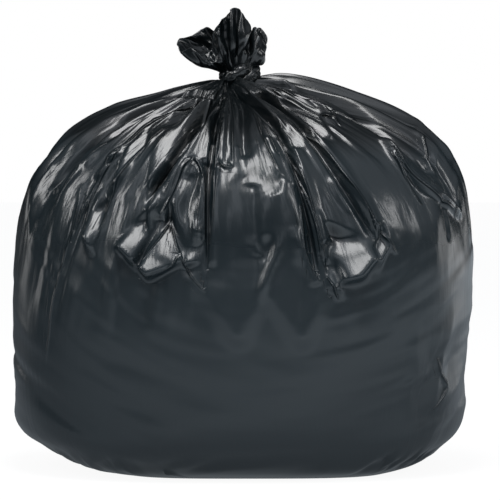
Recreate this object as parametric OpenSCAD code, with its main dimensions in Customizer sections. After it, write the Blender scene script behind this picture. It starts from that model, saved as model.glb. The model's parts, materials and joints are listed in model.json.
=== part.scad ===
// A filled film sack, knotted at the neck, standing on its flattened bottom.
// The whole sack is one closed skin: foot, body, gathered crown, knot and the loose mouth above it.

/* [Filled body] */
// Width across the filled body, left to right
bag_width = 556; // [460:2:640]
// Depth of the filled body, front to back
bag_depth = 450; // [370:2:530]
// Height of the gathered neck above the floor
body_height = 462; // [390:2:550]
// How square the plan outline is: 2 is an ellipse
plan_squareness = 2.35; // [2:0.05:2.8]
// How square the outline of the contact patch is
foot_squareness = 3.6; // [2:0.1:5]
// Depth of the broad dents that the contents leave in the sides
lump_depth = 5; // [0:0.5:9]

/* [Foot] */
// Reach of the flat contact patch to the left of the middle
foot_left = 150; // [110:2:180]
// Reach of the flat contact patch to the right of the middle
foot_right = 174; // [140:2:190]
// Reach of the flat contact patch to the front and to the back
foot_front = 146; // [120:2:164]
// Height of the turned-up bottom corners above the floor
corner_height = 54; // [44:1:70]
// How far the ears at the ends of the bottom seam stand out
ear_depth = 9; // [4:0.5:14]
// Half of the angle that an ear takes up round the corner
ear_half_angle = 24; // [16:1:32]

/* [Gathers] */
// Depth of the deepest pleat below the crest beside it
pleat_depth = 19; // [12:0.5:24]
// Height share over which a pleat fades out at its lower end
pleat_fade = 0.24; // [0.18:0.01:0.3]

/* [Neck and knot] */
// Radius of the film bunched in the neck, at its tightest
neck_radius = 12; // [10:0.5:14]
// Sideways place of the neck, from the middle of the body
neck_offset = -20; // [-28:1:-4]
// Sideways place of the knot and the mouth above the neck
knot_offset = -12; // [-20:1:0]
// Radius of the knot's rolled band
knot_radius = 26; // [22:0.5:30]
// Height of the knot, from the neck to the film above it
knot_height = 22; // [18:1:26]
// Rise of the band from its low side to its high side
knot_tilt = 7; // [3:0.5:9]
// Depth of the slanting creases in the rolled film of the knot
knot_crease = 1.6; // [0:0.2:2.4]

/* [Loose mouth] */
// Height of the tallest lobe above the knot
mouth_height = 66; // [54:1:78]
// Reach of the longest lobe from the neck
mouth_reach = 67; // [56:1:78]
// Thickness of the bunched film layers in the mouth
mouth_wall = 4; // [3:0.5:5]
// Depth of the small gathers that run up the mouth
mouth_gather = 3; // [1:0.5:4]
// How far the mouth swells out between the knot and its rim
mouth_swell = 3; // [0:0.5:5]

/* [Hidden] */
film_color = [0.17, 0.19, 0.2];

// Side outlines above the bottom corner: [share of the half width, share of the height from corner to neck].
left_outline = [
    [0.992, 0.11], [1.004, 0.31], [0.984, 0.5], [0.93, 0.655], [0.838, 0.755], [0.698, 0.856], [0.508, 0.926],
    [0.29, 0.966]
];
right_outline = [
    [0.941, 0.09], [0.974, 0.25], [1, 0.42], [0.992, 0.6], [0.96, 0.735], [0.855, 0.85], [0.62, 0.945],
    [0.3, 1.015]
];
front_outline = [
    [0.985, 0.1], [1, 0.3], [0.985, 0.46], [0.935, 0.6], [0.84, 0.72], [0.68, 0.83], [0.46, 0.92],
    [0.26, 0.975]
];
back_outline = [
    [0.985, 0.1], [1, 0.3], [0.99, 0.48], [0.95, 0.63], [0.86, 0.745], [0.71, 0.85], [0.48, 0.93],
    [0.27, 0.985]
];
// Bend of the turned-up bottom, from the foot to the corner: [share of the way out, share of the way up].
corner_bend = [[0.44, 0.18], [0.78, 0.57]];
// Half width or half depth at the corner, as a share of the widest.
left_corner = 0.96;
right_corner = 0.905;
hem_corner = 0.955;
// The film just below the neck: its radius as a share of the neck's, its height as a share of the body's.
collar = [1.9, 1.004];

// Valleys between the pleats: [bearing at the neck, bearing at the lower end, share of pleat_depth,
// height share where the valley ends].
// Bearings run from the right side (0) over the back (90) and the left side (180) to the front (270).
valleys = [
    [4, 2, 0.6, 0.56], [16, 14, 0.8, 0.5], [28, 27, 0.6, 0.62], [41, 40, 1, 0.48], [54, 54, 0.7, 0.6],
    [67, 66, 0.9, 0.44], [80, 81, 0.6, 0.6], [93, 94, 1, 0.5], [106, 107, 0.7, 0.64], [118, 119, 0.9, 0.46],
    [131, 131, 0.6, 0.6], [144, 143, 1, 0.5], [157, 156, 0.7, 0.6], [170, 168, 0.8, 0.55],
    [184, 180, 0.6, 0.62], [205, 192, 0.8, 0.56], [226, 204, 0.8, 0.6], [250, 223.5, 0.5, 0.66],
    [254, 234.5, 0.5, 0.66], [259, 243.5, 0.7, 0.6], [263.4, 248, 1, 0.55], [266, 263.5, 0.9, 0.42],
    [272.5, 270.5, 0.5, 0.62], [279.8, 284.5, 0.7, 0.45], [286.7, 299.5, 0.65, 0.5], [295, 311, 0.45, 0.8],
    [316.6, 331, 0.85, 0.66], [332, 341, 0.6, 0.56], [348, 352, 0.7, 0.6]
];
// Places of the four folds of each pleat between two valleys, and how far each stands out of the valley.
fold_places = [0, 0.18, 0.5, 0.82];
fold_heights = [0, 0.72, 1, 0.72];
// The part of a pleat's depth that lies below the film's own surface.
fold_sink = 0.8;
// Depth that the narrowing film leaves to a pleat, per millimetre of radius beyond the neck.
fold_room = 0.26;
// Shares of the way from foot to neck at which the columns turn from their lower to their neck bearings.
turn_start = 0.5;
turn_length = 0.38;
// Height share at which the body starts to lean towards its neck.
lean_start = 0.6;
// Share of the way up at which the plan outline starts to turn round, and the spans its squarer foot takes.
crown_start = 0.55;
foot_spans = 4;
// Steps to either side, in degrees and in spans, from which a surface direction is measured.
turn_step = 1;
climb_step = 0.05;
// Spans at the foot and at the neck over which the dents come and go, and their three weights.
lump_rise = 2;
lump_fall = 4;
lump_weights = [0.5, 0.3, 0.2];
// The dents' two waves: [waves once round, slant in degrees per span, start in degrees].
lump_waves = [[3, 40, 0], [5, -75, 60]];
// How pointed an ear is.
ear_power = 1.5;

// Rim of the loose mouth, once round from the right side over the back, as shares: [reach, reach, height].
rim = [
    [0.60, 0, 0.30], [0.55, 0.12, 0.52], [0.46, 0.18, 0.65], [0.32, 0.2, 0.58], [0.22, 0.28, 0.43],
    [0.1, 0.38, 0.62], [-0.06, 0.4, 0.75], [-0.22, 0.34, 0.55], [-0.36, 0.28, 0.58], [-0.52, 0.22, 0.65],
    [-0.68, 0.16, 0.56], [-0.86, 0.06, 0.48], [-1, -0.06, 0.4], [-0.98, -0.2, 0.3], [-0.86, -0.28, 0.27],
    [-0.7, -0.32, 0.3], [-0.52, -0.32, 0.24], [-0.38, -0.3, 0.28], [-0.29, -0.29, 0.62],
    [-0.12, -0.32, 0.94], [0.06, -0.3, 1], [0.21, -0.27, 0.82], [0.28, -0.2, 0.55], [0.38, -0.18, 0.66],
    [0.53, -0.12, 0.52]
];

body_rows = 32;
knot_rows = 8;
mouth_rows = 5;
inner_rows = 3;
// Share of the mouth's height at which its hollow ends, above the knot.
mouth_floor = 0.3;
// Radius of the film where it leaves the knot, as a share of the neck's.
knot_top_share = 1.4;
// Depth of the groove between the two bands as a share of the knot's bulge, and how narrow it is.
band_groove = 0.16;
groove_power = 8;
// Creases once round the knot, how far they slant in degrees, and how full its bulge is (1 is a sine).
knot_creases = 9;
knot_slant = 200;
knot_fullness = 0.7;
// Bearing in degrees opposite the knot's high side, and the share of its height at which it has moved over.
knot_low_side = -30;
knot_shift_end = 0.5;
// How steeply the mouth rises near the knot (1 is even), and the level of its gathers that keeps its place.
mouth_flare = 0.9;
ripple_level = 0.6;

half_width = bag_width / 2;
half_depth = bag_depth / 2;
fold_count = len(fold_places);
column_count = len(valleys) * fold_count;

function mix(a, b, t) = a + (b - a) * t;
function unit(v) = v / norm(v);
function middle(points) = [for (k = [0 : 2]) [for (p = points) p[k]] * [for (p = points) 1 / len(points)]];
function clamp01(t) = max(0, min(1, t));
function ease(t) = let (c = clamp01(t)) c * c * (3 - 2 * c);
function spread(v, n) = sign(v) * pow(abs(v), 2 / n);

// A smooth curve through a list of points, at place u counted in points.
function along(p, u) =
    let (
        last = len(p) - 1,
        i = min(floor(u), last - 1),
        t = u - i,
        a = p[max(i - 1, 0)],
        b = p[i],
        c = p[i + 1],
        d = p[min(i + 2, last)]
    )
    0.5 * (2 * b + (c - a) * t + (2 * a - 5 * b + 4 * c - d) * t * t + (3 * b - a - 3 * c + d) * t * t * t);

// The same round a closed list of points, at a bearing in degrees.
function around(p, b) =
    let (
        n = len(p),
        u = b / 360 * n,
        i = floor(u)
    )
    along([for (k = [i - 1 : i + 2]) p[(k + n) % n]], 1 + u - i);

// A side's outline in millimetres, from the foot over the corner to the neck.
function side(outline, half, foot, corner) = concat(
    [[foot, 0]],
    [for (s = corner_bend) [mix(foot, half * corner, s[0]), corner_height * s[1]]],
    [[half * corner, corner_height]],
    [for (s = outline) [s[0] * half, mix(corner_height, body_height, s[1])]],
    [[neck_radius * collar[0], body_height * collar[1]], [neck_radius, body_height]]
);

left_side = side(left_outline, half_width, foot_left, left_corner);
right_side = side(right_outline, half_width, foot_right, right_corner);
front_side = side(front_outline, half_depth, foot_front, hem_corner);
back_side = side(back_outline, half_depth, foot_front, hem_corner);
spans = len(left_side) - 1;

// How far place u has turned to the neck's bearings, from 0 to 1.
function turned(u) = ease((u / spans - turn_start) / turn_length);

// A value of the valleys beside column i, between the valley before it and the one after it.
function beside(i, what) =
    let (
        k = floor(i / fold_count),
        next = (k + 1) % len(valleys),
        wrap = what < 2 && next == 0 ? 360 : 0
    )
    mix(valleys[k][what], valleys[next][what] + wrap, fold_places[i % fold_count]);

// Bearing of column i at place u, and how far its fold stands out.
function bearing(i, u) = mix(beside(i, 1), beside(i, 0), turned(u));
function fold_height(i) = fold_heights[i % fold_count];

// How square the plan outline is at place u: squarest at the foot, round at the neck.
function squareness(u) =
    let (rounded = ease((u / spans - crown_start) / (1 - crown_start)))
    mix(foot_squareness, mix(plan_squareness, 2, rounded), ease(u / foot_spans));

// The smooth body without its pleats, at bearing b and place u from the foot to the neck.
function smooth_body(b, u) =
    let (
        x_side = along(cos(b) < 0 ? left_side : right_side, u),
        y_side = along(sin(b) < 0 ? front_side : back_side, u),
        square = squareness(u),
        z = mix(y_side[1], x_side[1], cos(b) * cos(b)),
        lean = neck_offset * ease((z / body_height - lean_start) / (1 - lean_start))
    )
    [lean + x_side[0] * spread(cos(b), square), y_side[0] * spread(sin(b), square), z];

function outward(b, u) = unit(cross(
    smooth_body(b + turn_step, u) - smooth_body(b - turn_step, u),
    smooth_body(b, min(u + climb_step, spans)) - smooth_body(b, max(u - climb_step, 0))
));

// Broad dents between the foot and the crown.
function wave(w, b, u) = sin(w[0] * b + w[1] * u + w[2]);
function lump(b, u) =
    lump_depth * ease(u / lump_rise) * ease((spans - u) / lump_fall)
    * ([wave(lump_waves[0], b, u), wave(lump_waves[1], b, u), -1] * lump_weights);

// Depth of the gathers: none below the pleat's end, and held back where the neck has no room.
function gather(i, b, u, p) =
    let (
        radius = norm([p[0] - neck_offset, p[1]]),
        grown = ease((p[2] / body_height - beside(i, 3)) / pleat_fade),
        room = (radius - neck_radius) * fold_room
    )
    min(pleat_depth * beside(i, 2) * grown, max(room, 0)) * (fold_height(i) - fold_sink);

// The ears at the ends of the bottom seam: a ridge that stands out at the left and right corners.
function ear(b, p) =
    let (away = min(b % 180, 180 - b % 180))
    ear_depth * pow(clamp01(1 - away / ear_half_angle), ear_power) * ease(1 - abs(p[2] / corner_height - 1));

function body_point(i, u) =
    let (b = bearing(i, u), p = smooth_body(b, u))
    u == 0 ? p : p + outward(b, u) * (gather(i, b, u, p) + lump(b, u) + ear(b, p));

// The knot: film rolled round the neck in two bands, higher on its left side and creased on the slant.
knot_top_radius = neck_radius * knot_top_share;
function knot_point(i, t) =
    let (
        b = bearing(i, spans),
        bulge = knot_radius - (neck_radius + knot_top_radius) / 2,
        rolled = sin(180 * t),
        groove = band_groove * pow(rolled, groove_power),
        crease = knot_crease * sin(knot_creases * b + knot_slant * t) * rolled,
        full = bulge * pow(rolled, knot_fullness) * (1 - groove),
        radius = mix(neck_radius, knot_top_radius, t) + full + crease
    )
    [
        mix(neck_offset, knot_offset, ease(t / knot_shift_end)) + radius * cos(b),
        radius * sin(b),
        body_height + knot_height * t - knot_tilt * rolled * cos(b - knot_low_side) / 2
    ];

// The mouth's skin from the knot (t = 0) to its rim (t = 1), before its gathers.
function mouth_skin(b, t) =
    let (
        edge = around(rim, b),
        low = knot_top_radius * [cos(b), sin(b)],
        swell = sin(180 * t) * mouth_swell,
        rise = mouth_height * edge[2]
    )
    [
        knot_offset + mix(low[0], mouth_reach * edge[0], t) + swell * cos(b),
        mix(low[1], mouth_reach * edge[1], t) + swell * sin(b),
        body_height + knot_height + rise * pow(t, mouth_flare)
    ];

// The same with its gathers, moved inwards by the wall.
function mouth_point(i, t, wall) =
    let (
        b = bearing(i, spans) % 360,
        run = mouth_skin((b + turn_step) % 360, t) - mouth_skin((b + 360 - turn_step) % 360, t),
        out = unit([run[1], -run[0], 0]),
        ripple = mouth_gather * (fold_height(i) - ripple_level) * ease(t)
    )
    mouth_skin(b, t) + out * (ripple - wall);

columns = [0 : column_count - 1];
body_rings = [
    for (r = [0 : body_rows]) [for (i = columns) body_point(i, spans * r / body_rows)]
];
knot_rings = [for (r = [1 : knot_rows - 1]) [for (i = columns) knot_point(i, r / knot_rows)]];
mouth_rings = [for (r = [0 : mouth_rows]) [for (i = columns) mouth_point(i, r / mouth_rows, 0)]];
inner_rings = [
    for (r = [0 : inner_rows])
        [for (i = columns) mouth_point(i, mix(1, mouth_floor, r / inner_rows), mouth_wall)]
];
rings = concat(body_rings, knot_rings, mouth_rings, inner_rings);

// One closed skin through all the rings, with a middle point closing each end.
module ring_skin(rings, first_middle, last_middle) {
    n = len(rings[0]);
    last = len(rings) - 1;
    low = (last + 1) * n;
    high = low + 1;
    points = concat([for (ring = rings) each ring], [first_middle, last_middle]);
    side_faces = [
        for (r = [0 : last - 1], i = [0 : n - 1])
            let (a = r * n + i, b = r * n + (i + 1) % n)
            each [[a, a + n, b], [b, a + n, b + n]]
    ];
    low_faces = [for (i = [0 : n - 1]) [low, i, (i + 1) % n]];
    high_faces = [for (i = [0 : n - 1]) [high, last * n + (i + 1) % n, last * n + i]];
    polyhedron(points = points, faces = concat(side_faces, low_faces, high_faces), convexity = 10);
}

module tied_bag() {
    color(film_color) ring_skin(rings, [0, 0, 0], middle(rings[len(rings) - 1]));
}

tied_bag();
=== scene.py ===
# %% [markdown]
# # A filled bin bag, tied in its own neck
#
# A refuse sack is blown from polyethylene film about 0.03 mm thick. Filled and tied, it shows three kinds of
# shape: a taut lower body pressed out by what is in it, a crown where the whole girth of film is gathered into a
# fist-wide neck, and the loose mouth above the knot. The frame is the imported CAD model, in metres, standing on
# the floor at z = 0. Each piece made here stands in for that one solid and stays in its box.

# %% Load the frame
import json
import math

import bpy
import numpy as np
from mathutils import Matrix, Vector

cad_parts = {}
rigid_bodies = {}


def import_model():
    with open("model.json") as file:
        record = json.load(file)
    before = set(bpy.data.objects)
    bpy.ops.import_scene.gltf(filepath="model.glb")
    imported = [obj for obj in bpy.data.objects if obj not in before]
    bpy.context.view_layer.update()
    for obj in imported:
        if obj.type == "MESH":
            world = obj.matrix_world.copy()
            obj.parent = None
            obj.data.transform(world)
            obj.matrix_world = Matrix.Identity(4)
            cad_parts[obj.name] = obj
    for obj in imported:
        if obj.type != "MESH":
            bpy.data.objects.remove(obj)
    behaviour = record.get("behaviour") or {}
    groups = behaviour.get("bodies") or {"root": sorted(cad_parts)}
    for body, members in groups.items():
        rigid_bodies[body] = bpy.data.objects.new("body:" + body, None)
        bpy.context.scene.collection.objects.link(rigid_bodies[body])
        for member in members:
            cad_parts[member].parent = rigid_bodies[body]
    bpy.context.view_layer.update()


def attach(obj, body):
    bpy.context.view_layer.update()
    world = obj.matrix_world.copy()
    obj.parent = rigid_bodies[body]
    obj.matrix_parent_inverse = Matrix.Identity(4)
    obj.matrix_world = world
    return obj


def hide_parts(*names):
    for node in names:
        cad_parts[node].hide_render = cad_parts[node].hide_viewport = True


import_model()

MM = 0.001

# %% [markdown]
# ## Small helpers
#
# Colours are written as sRGB hex values, as a paint chart gives them. Blender's shaders work in linear light, so
# one function converts them. Curves through a few chosen points are Catmull-Rom splines: they pass through every
# point, which makes them easy to place by eye.

# %% Colours, blends and smooth curves
def colour(hex_value):
    """An sRGB hex value as linear red, green, blue and alpha."""
    channels = [int(hex_value[i:i + 2], 16) / 255 for i in (1, 3, 5)]
    return tuple(c / 12.92 if c <= 0.04045 else ((c + 0.055) / 1.055) ** 2.4 for c in channels) + (1.0,)


def mix(a, b, t):
    """a where t is 0, b where it is 1."""
    return a + (b - a) * t


def ease(t):
    """0 up to t = 0 and 1 from t = 1, with a soft start and end."""
    t = np.clip(t, 0, 1)
    return t * t * (3 - 2 * t)


def along(points, u):
    """A smooth curve through points, at place u counted in points."""
    points = np.asarray(points, float)
    last = len(points) - 1
    i = np.minimum(np.floor(u).astype(int), last - 1)
    t = (u - i)[..., None]
    a, b = points[np.maximum(i - 1, 0)], points[i]
    c, d = points[i + 1], points[np.minimum(i + 2, last)]
    return 0.5 * (2 * b + (c - a) * t + (2 * a - 5 * b + 4 * c - d) * t**2 + (3 * b - a - 3 * c + d) * t**3)


def unit(v):
    """Vectors of length 1 in the same directions."""
    return v / np.maximum(np.linalg.norm(v, axis=-1, keepdims=True), 1e-9)


print("film colour in linear light:", [round(c, 4) for c in colour("#1f2326")[:3]])

# %% [markdown]
# ## The camera
#
# The photograph looks almost level at the bag, from a few metres away with a long lens: the flat bottom shows as
# a straight line, and the crown behind the knot is just in view. The camera comes first, because it shows at
# once whether a shape is where it should be.

# %% Camera
CAMERA_DISTANCE = 4.5
CAMERA_ELEVATION = math.radians(3)
VIEW_WIDTH = 0.602      # metres across the picture, at the bag
SENSOR = 36
target = Vector((0.007, 0, 0.26))       # what is in the middle of the picture
away = Vector((0, -math.cos(CAMERA_ELEVATION), math.sin(CAMERA_ELEVATION)))

camera_data = bpy.data.cameras.new("camera")
camera_data.sensor_width = SENSOR
camera_data.lens = SENSOR * CAMERA_DISTANCE / VIEW_WIDTH
camera = bpy.data.objects.new("camera", camera_data)
camera.location = target + away * CAMERA_DISTANCE
camera.rotation_euler = (-away).to_track_quat("-Z", "Y").to_euler()
bpy.context.scene.collection.objects.link(camera)
bpy.context.scene.camera = camera
bpy.context.scene.view_settings.view_transform = "Standard"
print("lens:", round(camera_data.lens), "mm")

# %% [markdown]
# ## The smooth shape under the folds
#
# Four side outlines, each a list of points from the foot to the neck, say how far the bag reaches to the left,
# right, front and back at each height. A superellipse joins them round the bag: squarish at the foot, round at
# the neck. These are the same sizes, in millimetres, as in the CAD source, so the film lies on the solid.
# A place on the film has two numbers: its bearing round the neck (0 right, 90 back, 180 left, 270 front) and its
# place u up the outline, from 0 at the foot to SPANS at the neck.

# %% One side outline
BAG_WIDTH, BAG_DEPTH, BODY_HEIGHT = 556, 450, 462
FOOT_LEFT, FOOT_RIGHT, FOOT_FRONT = 150, 174, 146
CORNER_HEIGHT = 54
CORNER_BEND = [(0.44, 0.18), (0.78, 0.57)]
COLLAR = (1.9, 1.004)   # the last bend before the neck, in neck radii and body heights
NECK_RADIUS, NECK_OFFSET = 12, -20
PLAN_SQUARENESS, FOOT_SQUARENESS, FOOT_SPANS = 2.35, 3.6, 4
CROWN_START, LEAN_START = 0.55, 0.6


def side(shares, half, foot, corner):
    """One side outline as (reach, height) points; shares are its (share of half, share of height) points."""
    rows = [(foot, 0)]
    rows += [(mix(foot, half * corner, s), CORNER_HEIGHT * h) for s, h in CORNER_BEND]
    rows += [(half * corner, CORNER_HEIGHT)]
    rows += [(s * half, mix(CORNER_HEIGHT, BODY_HEIGHT, h)) for s, h in shares]
    rows += [(NECK_RADIUS * COLLAR[0], BODY_HEIGHT * COLLAR[1]), (NECK_RADIUS, BODY_HEIGHT)]
    return rows


print("foot:", FOOT_LEFT + FOOT_RIGHT, "mm wide")

# %% The smooth body
left_side = side([(0.992, 0.11), (1.004, 0.31), (0.984, 0.5), (0.93, 0.655), (0.838, 0.755), (0.698, 0.856),
                  (0.508, 0.926), (0.29, 0.966)], BAG_WIDTH / 2, FOOT_LEFT, 0.96)
right_side = side([(0.941, 0.09), (0.974, 0.25), (1, 0.42), (0.992, 0.6), (0.96, 0.735), (0.855, 0.85),
                   (0.62, 0.945), (0.3, 1.015)], BAG_WIDTH / 2, FOOT_RIGHT, 0.905)
front_side = side([(0.985, 0.1), (1, 0.3), (0.985, 0.46), (0.935, 0.6), (0.84, 0.72), (0.68, 0.83),
                   (0.46, 0.92), (0.26, 0.975)], BAG_DEPTH / 2, FOOT_FRONT, 0.955)
back_side = side([(0.985, 0.1), (1, 0.3), (0.99, 0.48), (0.95, 0.63), (0.86, 0.745), (0.71, 0.85),
                  (0.48, 0.93), (0.27, 0.985)], BAG_DEPTH / 2, FOOT_FRONT, 0.955)
SPANS = len(left_side) - 1
neck = np.array([NECK_OFFSET, 0, BODY_HEIGHT])


def smooth_body(bearing, u):
    """Points of the smooth body in millimetres, for arrays of bearings in degrees and places."""
    bearing, u = np.broadcast_arrays(bearing, u)
    c, s = np.cos(np.radians(bearing)), np.sin(np.radians(bearing))
    x_side = np.where((c < 0)[..., None], along(left_side, u), along(right_side, u))
    y_side = np.where((s < 0)[..., None], along(front_side, u), along(back_side, u))
    square = mix(PLAN_SQUARENESS, 2, ease((u / SPANS - CROWN_START) / (1 - CROWN_START)))
    square = mix(FOOT_SQUARENESS, square, ease(u / FOOT_SPANS))
    z = mix(y_side[..., 1], x_side[..., 1], c * c)
    lean = NECK_OFFSET * ease((z / BODY_HEIGHT - LEAN_START) / (1 - LEAN_START))
    x = lean + x_side[..., 0] * np.sign(c) * np.abs(c) ** (2 / square)
    y = y_side[..., 0] * np.sign(s) * np.abs(s) ** (2 / square)
    return np.stack([x, y, z], -1)


print("outline points on each side:", SPANS + 1)

# %% [markdown]
# ## A grid of film that follows its folds
#
# The film is one grid of columns round the bag and rows up it. Long folds look ragged where they cross the columns
# of a grid on the slant, so the columns here are led along the folds. On the sides and the back the guides are the
# valleys of the CAD model: bearing at the neck and lower down, share of the deepest pleat, and the height share
# where the valley ends. On the front each guide is a fold, given as its bearing at a few heights. Between two
# guides the columns share the way evenly. The bearing that a column has a little above half way is its flow number,
# and patterns that should run along the folds are made from it.

# %% Guides
SIDE_VALLEYS = [
    (4, 2, 0.6, 0.56), (16, 14, 0.8, 0.5), (28, 27, 0.6, 0.62), (41, 40, 1, 0.48), (54, 54, 0.7, 0.6),
    (67, 66, 0.9, 0.44), (80, 81, 0.6, 0.6), (93, 94, 1, 0.5), (106, 107, 0.7, 0.64), (118, 119, 0.9, 0.46),
    (131, 131, 0.6, 0.6), (144, 143, 1, 0.5), (157, 156, 0.7, 0.6), (170, 168, 0.8, 0.55),
    (184, 180, 0.6, 0.62), (205, 192, 0.8, 0.56), (226, 204, 0.8, 0.6), (332, 341, 0.6, 0.56),
    (348, 352, 0.7, 0.6)]
TURN_START, TURN_LENGTH = 0.5, 0.38
GUIDE_LEVELS = np.array([0, 0.38, 0.48, 0.58, 0.66, 0.74, 0.82, 1])
FRONT_GUIDES = [
    (207.2, 208.5, 210.3, 211.6, 215.1, 222.3, 233.4, 240.4),
    (218.3, 219.8, 221.6, 222.3, 226.3, 233.9, 246.6, 252.4),
    (224.3, 225.5, 226.6, 228.1, 232.4, 239.5, 248.6, 253.6),
    (235.7, 236.3, 236.9, 237.1, 241.6, 245.7, 254.0, 254.8),
    (242.4, 242.4, 242.4, 243.4, 245.6, 249.6, 258.7, 259.1),
    (249.4, 249.4, 248.0, 247.4, 251.5, 258.0, 263.4, 263.4),
    (254.8, 254.8, 253.3, 252.1, 255.7, 261.5, 265.4, 265.4),
    (260.3, 260.3, 259.7, 259.8, 262.5, 264.8, 266.6, 266.6),
    (264.0, 263.9, 263.3, 263.4, 263.9, 266.0, 267.8, 267.8),
    (268.7, 268.7, 268.4, 267.9, 268.2, 269.1, 269.6, 269.6),
    (274.0, 273.9, 273.5, 272.9, 273.1, 273.4, 273.7, 273.7),
    (286.4, 286.4, 284.6, 282.6, 281.4, 280.6, 279.8, 279.8),
    (306.4, 306.4, 301.6, 295.5, 291.3, 288.8, 286.7, 286.7),
    (318.6, 318.6, 314.4, 310.8, 307.5, 300.3, 293.2, 293.2),
    (332.3, 332.3, 332.3, 331.9, 324.3, 317.5, 316.6, 316.6),
]
FLOW_LEVEL = 3          # which of those levels flow numbers are read at
print("guides:", len(SIDE_VALLEYS), "valleys and", len(FRONT_GUIDES), "on the front")

# %% Columns and rows
COLUMNS, ROWS = 430, 230
FRONT_SHARE, GUIDE_SHARE, GUIDE_WIDTH = 0.48, 0.7, 1.6      # how columns crowd: on the front, beside guides
CROWN_SHARE, CROWD_START, CROWD_LENGTH = 0.9, 0.35, 0.3     # how rows crowd on the crown, and where that starts
FLOW_STEPS, PLACE_STEPS = 7201, 3001
MERIDIAN = 250          # the rows are spaced by the film's length along this bearing


def spaced(places, weights, count, closed):
    """count places, closer together where the weight is greater."""
    total = np.concatenate([[0], np.cumsum((weights[1:] + weights[:-1]) / 2 * np.diff(places))])
    return np.interp(np.linspace(0, total[-1], count, endpoint=not closed), total, places)


turned = ease((GUIDE_LEVELS - TURN_START) / TURN_LENGTH)
guides = [mix(lower, at_neck, turned) for at_neck, lower, _, _ in SIDE_VALLEYS] + FRONT_GUIDES
guides = np.array(sorted([list(guide) for guide in guides], key=lambda guide: guide[FLOW_LEVEL]))
guide_flows = guides[:, FLOW_LEVEL]
fine_flows = np.linspace(0, 360, FLOW_STEPS)
beside = np.min(np.abs(fine_flows[:, None] - guide_flows), axis=1)
weights = 1 - FRONT_SHARE * np.sin(np.radians(fine_flows)) + GUIDE_SHARE * np.exp(-(beside / GUIDE_WIDTH) ** 2)
flows = spaced(fine_flows, weights, COLUMNS, True)

fine_u = np.linspace(0, SPANS, PLACE_STEPS)
meridian = smooth_body(np.full_like(fine_u, MERIDIAN), fine_u)
run = np.concatenate([[0], np.cumsum(np.linalg.norm(np.diff(meridian, axis=0), axis=1))])
crowd = 1 + CROWN_SHARE * ease((meridian[:, 2] / BODY_HEIGHT - CROWD_START) / CROWD_LENGTH)
row_runs = spaced(run, crowd, ROWS, False)
rows = np.interp(row_runs, run, fine_u)
print("rows:", ROWS, "film from foot to neck:", round(row_runs[-1]), "mm")

# %% The grid of film
def led(flow, share):
    """Bearings of flow numbers at a share of the way up, led along the guides."""
    at_level = np.array([np.interp(share, GUIDE_LEVELS, guide) for guide in guides])
    known = np.concatenate([guide_flows[-1:] - 360, guide_flows, guide_flows[:1] + 360])
    found = np.concatenate([at_level[-1:] - 360, at_level, at_level[:1] + 360])
    return np.interp(flow, known, found)


bearing = np.array([led(flows, u / SPANS) for u in rows])
flow, place = np.meshgrid(flows, rows)
film_run = np.repeat(row_runs[:, None], COLUMNS, 1)
base = smooth_body(bearing, place)
up_film = np.gradient(base, axis=0)
round_film = np.roll(base, -1, 1) - np.roll(base, 1, 1)
outward = unit(np.cross(round_film, up_film))
height_share = base[..., 2] / BODY_HEIGHT
from_neck = np.linalg.norm(base - neck, axis=-1)
print("grid:", ROWS, "x", COLUMNS, "cells:", ROWS * COLUMNS)

# %% [markdown]
# ## One crease
#
# Film doesn't bend evenly: it stays flat and turns sharply along lines. So a crease is a line on the film with
# nearly flat flanks that fall away to both sides, each with its own width. Three kinds are enough: a valley, a
# ridge, and a step where one layer lies over the next. Near the neck there is less room, so both width and depth
# shrink with the distance from it. A crease also fades towards its two ends.

# %% Lines on the film
STEPS_PER_POINT = 7     # straight steps for each point of a line
FAR = 1e9               # millimetres: further away than anything


def on_film(points, count):
    """A smooth line through (bearing, share of SPANS) points, and the film's outward direction along it."""
    line = along(points, np.linspace(0, len(points) - 1, count))
    b, u = line[:, 0], line[:, 1] * SPANS
    across = smooth_body(b + 0.5, u) - smooth_body(b - 0.5, u)
    rising = smooth_body(b, np.minimum(u + 0.03, SPANS)) - smooth_body(b, u - 0.03)
    return smooth_body(b, u), unit(np.cross(across, rising))


def nearest(points, reach):
    """For the cells within reach of a line: their index, distance, side (-1 left, 1 right) and place on it."""
    line, normal = on_film(points, STEPS_PER_POINT * len(points))
    flat, flat_outward = base.reshape(-1, 3), outward.reshape(-1, 3)
    near = np.all((flat > line.min(0) - reach) & (flat < line.max(0) + reach), axis=1)
    index = np.nonzero(near & (flat_outward @ normal.mean(0) > 0))[0]
    cell = flat[index]
    distance, hand, where = np.full(len(cell), FAR), np.zeros(len(cell)), np.zeros(len(cell))
    for k in range(len(line) - 1):
        step = line[k + 1] - line[k]
        t = np.clip((cell - line[k]) @ step / (step @ step), 0, 1)
        away_from_line = cell - line[k] - t[:, None] * step
        d = np.linalg.norm(away_from_line, axis=1)
        closer = d < distance
        distance = np.where(closer, d, distance)
        hand = np.where(closer, np.sign(away_from_line @ np.cross(normal[k], step)), hand)
        where = np.where(closer, (k + t) / (len(line) - 1), where)
    keep = distance < reach
    return index[keep], distance[keep], hand[keep], where[keep]


sample = on_film([(270, 0.5), (270, 0.6)], 2)[0]
print("a tenth of the way up the front is", round(float(np.linalg.norm(sample[1] - sample[0]))), "mm of film")

# %% The crease function
NECK = 0.04             # the start of a crease that comes out of the knot
POWER = 1.2             # 1 would be a straight-sided fold, 2 a softly curved one
NECK_WIDTH, NECK_DEPTH = 0.2, 0.13      # most width and depth, as shares of the distance from the neck
LEAST_WIDTH, LEAST_DEPTH = 1.5, 0.5     # millimetres that are left at the neck itself


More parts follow.
